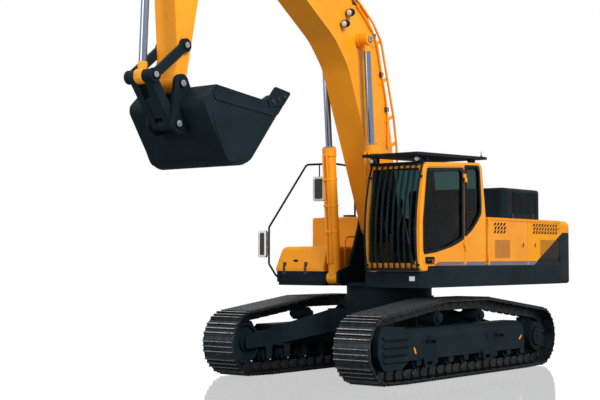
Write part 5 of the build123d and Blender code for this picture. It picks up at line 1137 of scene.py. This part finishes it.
def tread_mat(x0, x1, y0, y1, height):
    """A thin mat with rounded corners and a staggered field of round studs."""
    up = level_at((0, 0, height))
    mat = plate(oblong(((x0 + x1) / 2, (y0 + y1) / 2), x1 - x0, y1 - y0, 0.03), -0.001, 0.005, up, 0.002)
    stud_pitch = 0.062
    across, along = np.meshgrid(np.arange(x0 + 0.045, x1 - 0.03, stud_pitch), np.arange(y0 + 0.045, y1 - 0.03, stud_pitch))
    across = across + (np.arange(len(across))[:, None] % 2) * stud_pitch / 2
    inside = across < x1 - 0.03
    return [mat] + [turned(((0.012, 0.004), (0.011, 0.009), (0.006, 0.010)), up, (a, b), 8)
                    for a, b in zip(across[inside], along[inside])]


FILLER_HEIGHT = 0.045
tank_top, house_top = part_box("fuel_tank")[1][2] - FILLER_HEIGHT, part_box("machine_house")[1][2]
mats = [(-0.60, -0.02, -0.84, -0.50, tank_top), (-0.60, -0.02, -1.36, -1.14, tank_top), (-1.42, -0.80, -0.84, -0.50, tank_top),
        (-1.42, -0.80, -1.36, -1.14, tank_top)]
for number, mat in enumerate(mats, 1):
    piece(f"tread_mat_{number}", "upper", black_plastic, tread_mat(*mat), 30)
piece("tread_mat_house", "upper", black_plastic, tread_mat(-1.46, -0.62, 0.62, 1.34, house_top), 30)
latches = []
for hand in (1, -1):
    wall = hood_high[1] if hand > 0 else -hood_low[1]
    for x in (hood_low[0] - SWING_X + 0.30, hood_high[0] - SWING_X - 0.30):
        latches.append(plate(oblong((x, hood_low[2] + 0.060), 0.040, 0.075, 0.012), -0.002, 0.012, flank(hand * wall, hand), 0.004))
        latches.append(plate(oblong((x, hood_low[2] + 0.085), 0.062, 0.022, 0.010), 0.008, 0.022, flank(hand * wall, hand), 0.004))
piece("hood_latches", "engine_hood", black_plastic, latches)


# Floor, backdrop and light

def stage_plane(name, size, height, finish):
    """A square at one height, centred under the machine."""
    mesh = bpy.data.meshes.new(name)
    half = size / 2
    mesh.from_pydata([(-half, -half, height), (half, -half, height), (half, half, height), (-half, half, height)], [],
                     [(0, 1, 2, 3)])
    mesh.materials.append(finish)
    plane = bpy.data.objects.new(name, mesh)
    bpy.context.scene.collection.objects.link(plane)
    return plane


floor_finish, nodes, links, shader = new_finish("studio_floor", (0.26, 0.26, 0.27), 0.5)
shader.inputs["Specular IOR Level"].default_value = 0.1
white = nodes.new("ShaderNodeEmission")
white.inputs["Strength"].default_value = 1.72
polish = nodes.new("ShaderNodeBsdfGlossy")
polish.inputs["Roughness"].default_value = 0.06
veiled, seen_floor, floor_part = (nodes.new("ShaderNodeMixShader") for _ in range(3))
veiled.inputs[0].default_value = 0.66            # share of the polish, which mirrors the machine faintly
links.new(white.outputs["Emission"], veiled.inputs[1])
links.new(polish.outputs["BSDF"], veiled.inputs[2])
seen_floor.inputs[0].default_value = 0.94        # share of the veil over the shaded floor
links.new(shader.outputs["BSDF"], seen_floor.inputs[1])
links.new(veiled.outputs["Shader"], seen_floor.inputs[2])
path = nodes.new("ShaderNodeLightPath")
links.new(path.outputs["Is Camera Ray"], floor_part.inputs[0])
links.new(shader.outputs["BSDF"], floor_part.inputs[1])
links.new(seen_floor.outputs["Shader"], floor_part.inputs[2])
links.new(floor_part.outputs["Shader"], nodes["Material Output"].inputs["Surface"])
stage_plane("floor", 120, -0.002, floor_finish)

world = bpy.data.worlds.new("studio")
bpy.context.scene.world = world
world.use_nodes = True
nodes, links = world.node_tree.nodes, world.node_tree.links
sky = nodes["Background"]
sky.inputs["Color"].default_value = (1, 1, 1, 1)
sky.inputs["Strength"].default_value = 0.55
seen = nodes.new("ShaderNodeBackground")
seen.inputs["Color"].default_value = (1, 1, 1, 1)
seen.inputs["Strength"].default_value = 1.0
path = nodes.new("ShaderNodeLightPath")
choose = nodes.new("ShaderNodeMixShader")
background_rays = path.outputs["Is Camera Ray"]
for kind in ("Is Transmission Ray", "Is Glossy Ray"):
    either = nodes.new("ShaderNodeMath")
    either.operation = "MAXIMUM"
    links.new(background_rays, either.inputs[0])
    links.new(path.outputs[kind], either.inputs[1])
    background_rays = either.outputs[0]
links.new(background_rays, choose.inputs[0])
links.new(sky.outputs["Background"], choose.inputs[1])
links.new(seen.outputs["Background"], choose.inputs[2])
links.new(choose.outputs["Shader"], nodes["World Output"].inputs["Surface"])


def soft_light(name, place, target, size, power):
    """A square area lamp that faces a target."""
    data = bpy.data.lights.new(name, "AREA")
    data.size = size
    data.energy = power
    lamp = bpy.data.objects.new(name, data)
    bpy.context.scene.collection.objects.link(lamp)
    lamp.location = place
    lamp.rotation_euler = (Vector(target) - Vector(place)).to_track_quat("-Z", "Y").to_euler()


soft_light("key_light", (6, 16, 14), (0, 0, 2.5), 8, 3500)
soft_light("front_light", (17, -2, 8), (0, 0, 2.5), 8, 900)
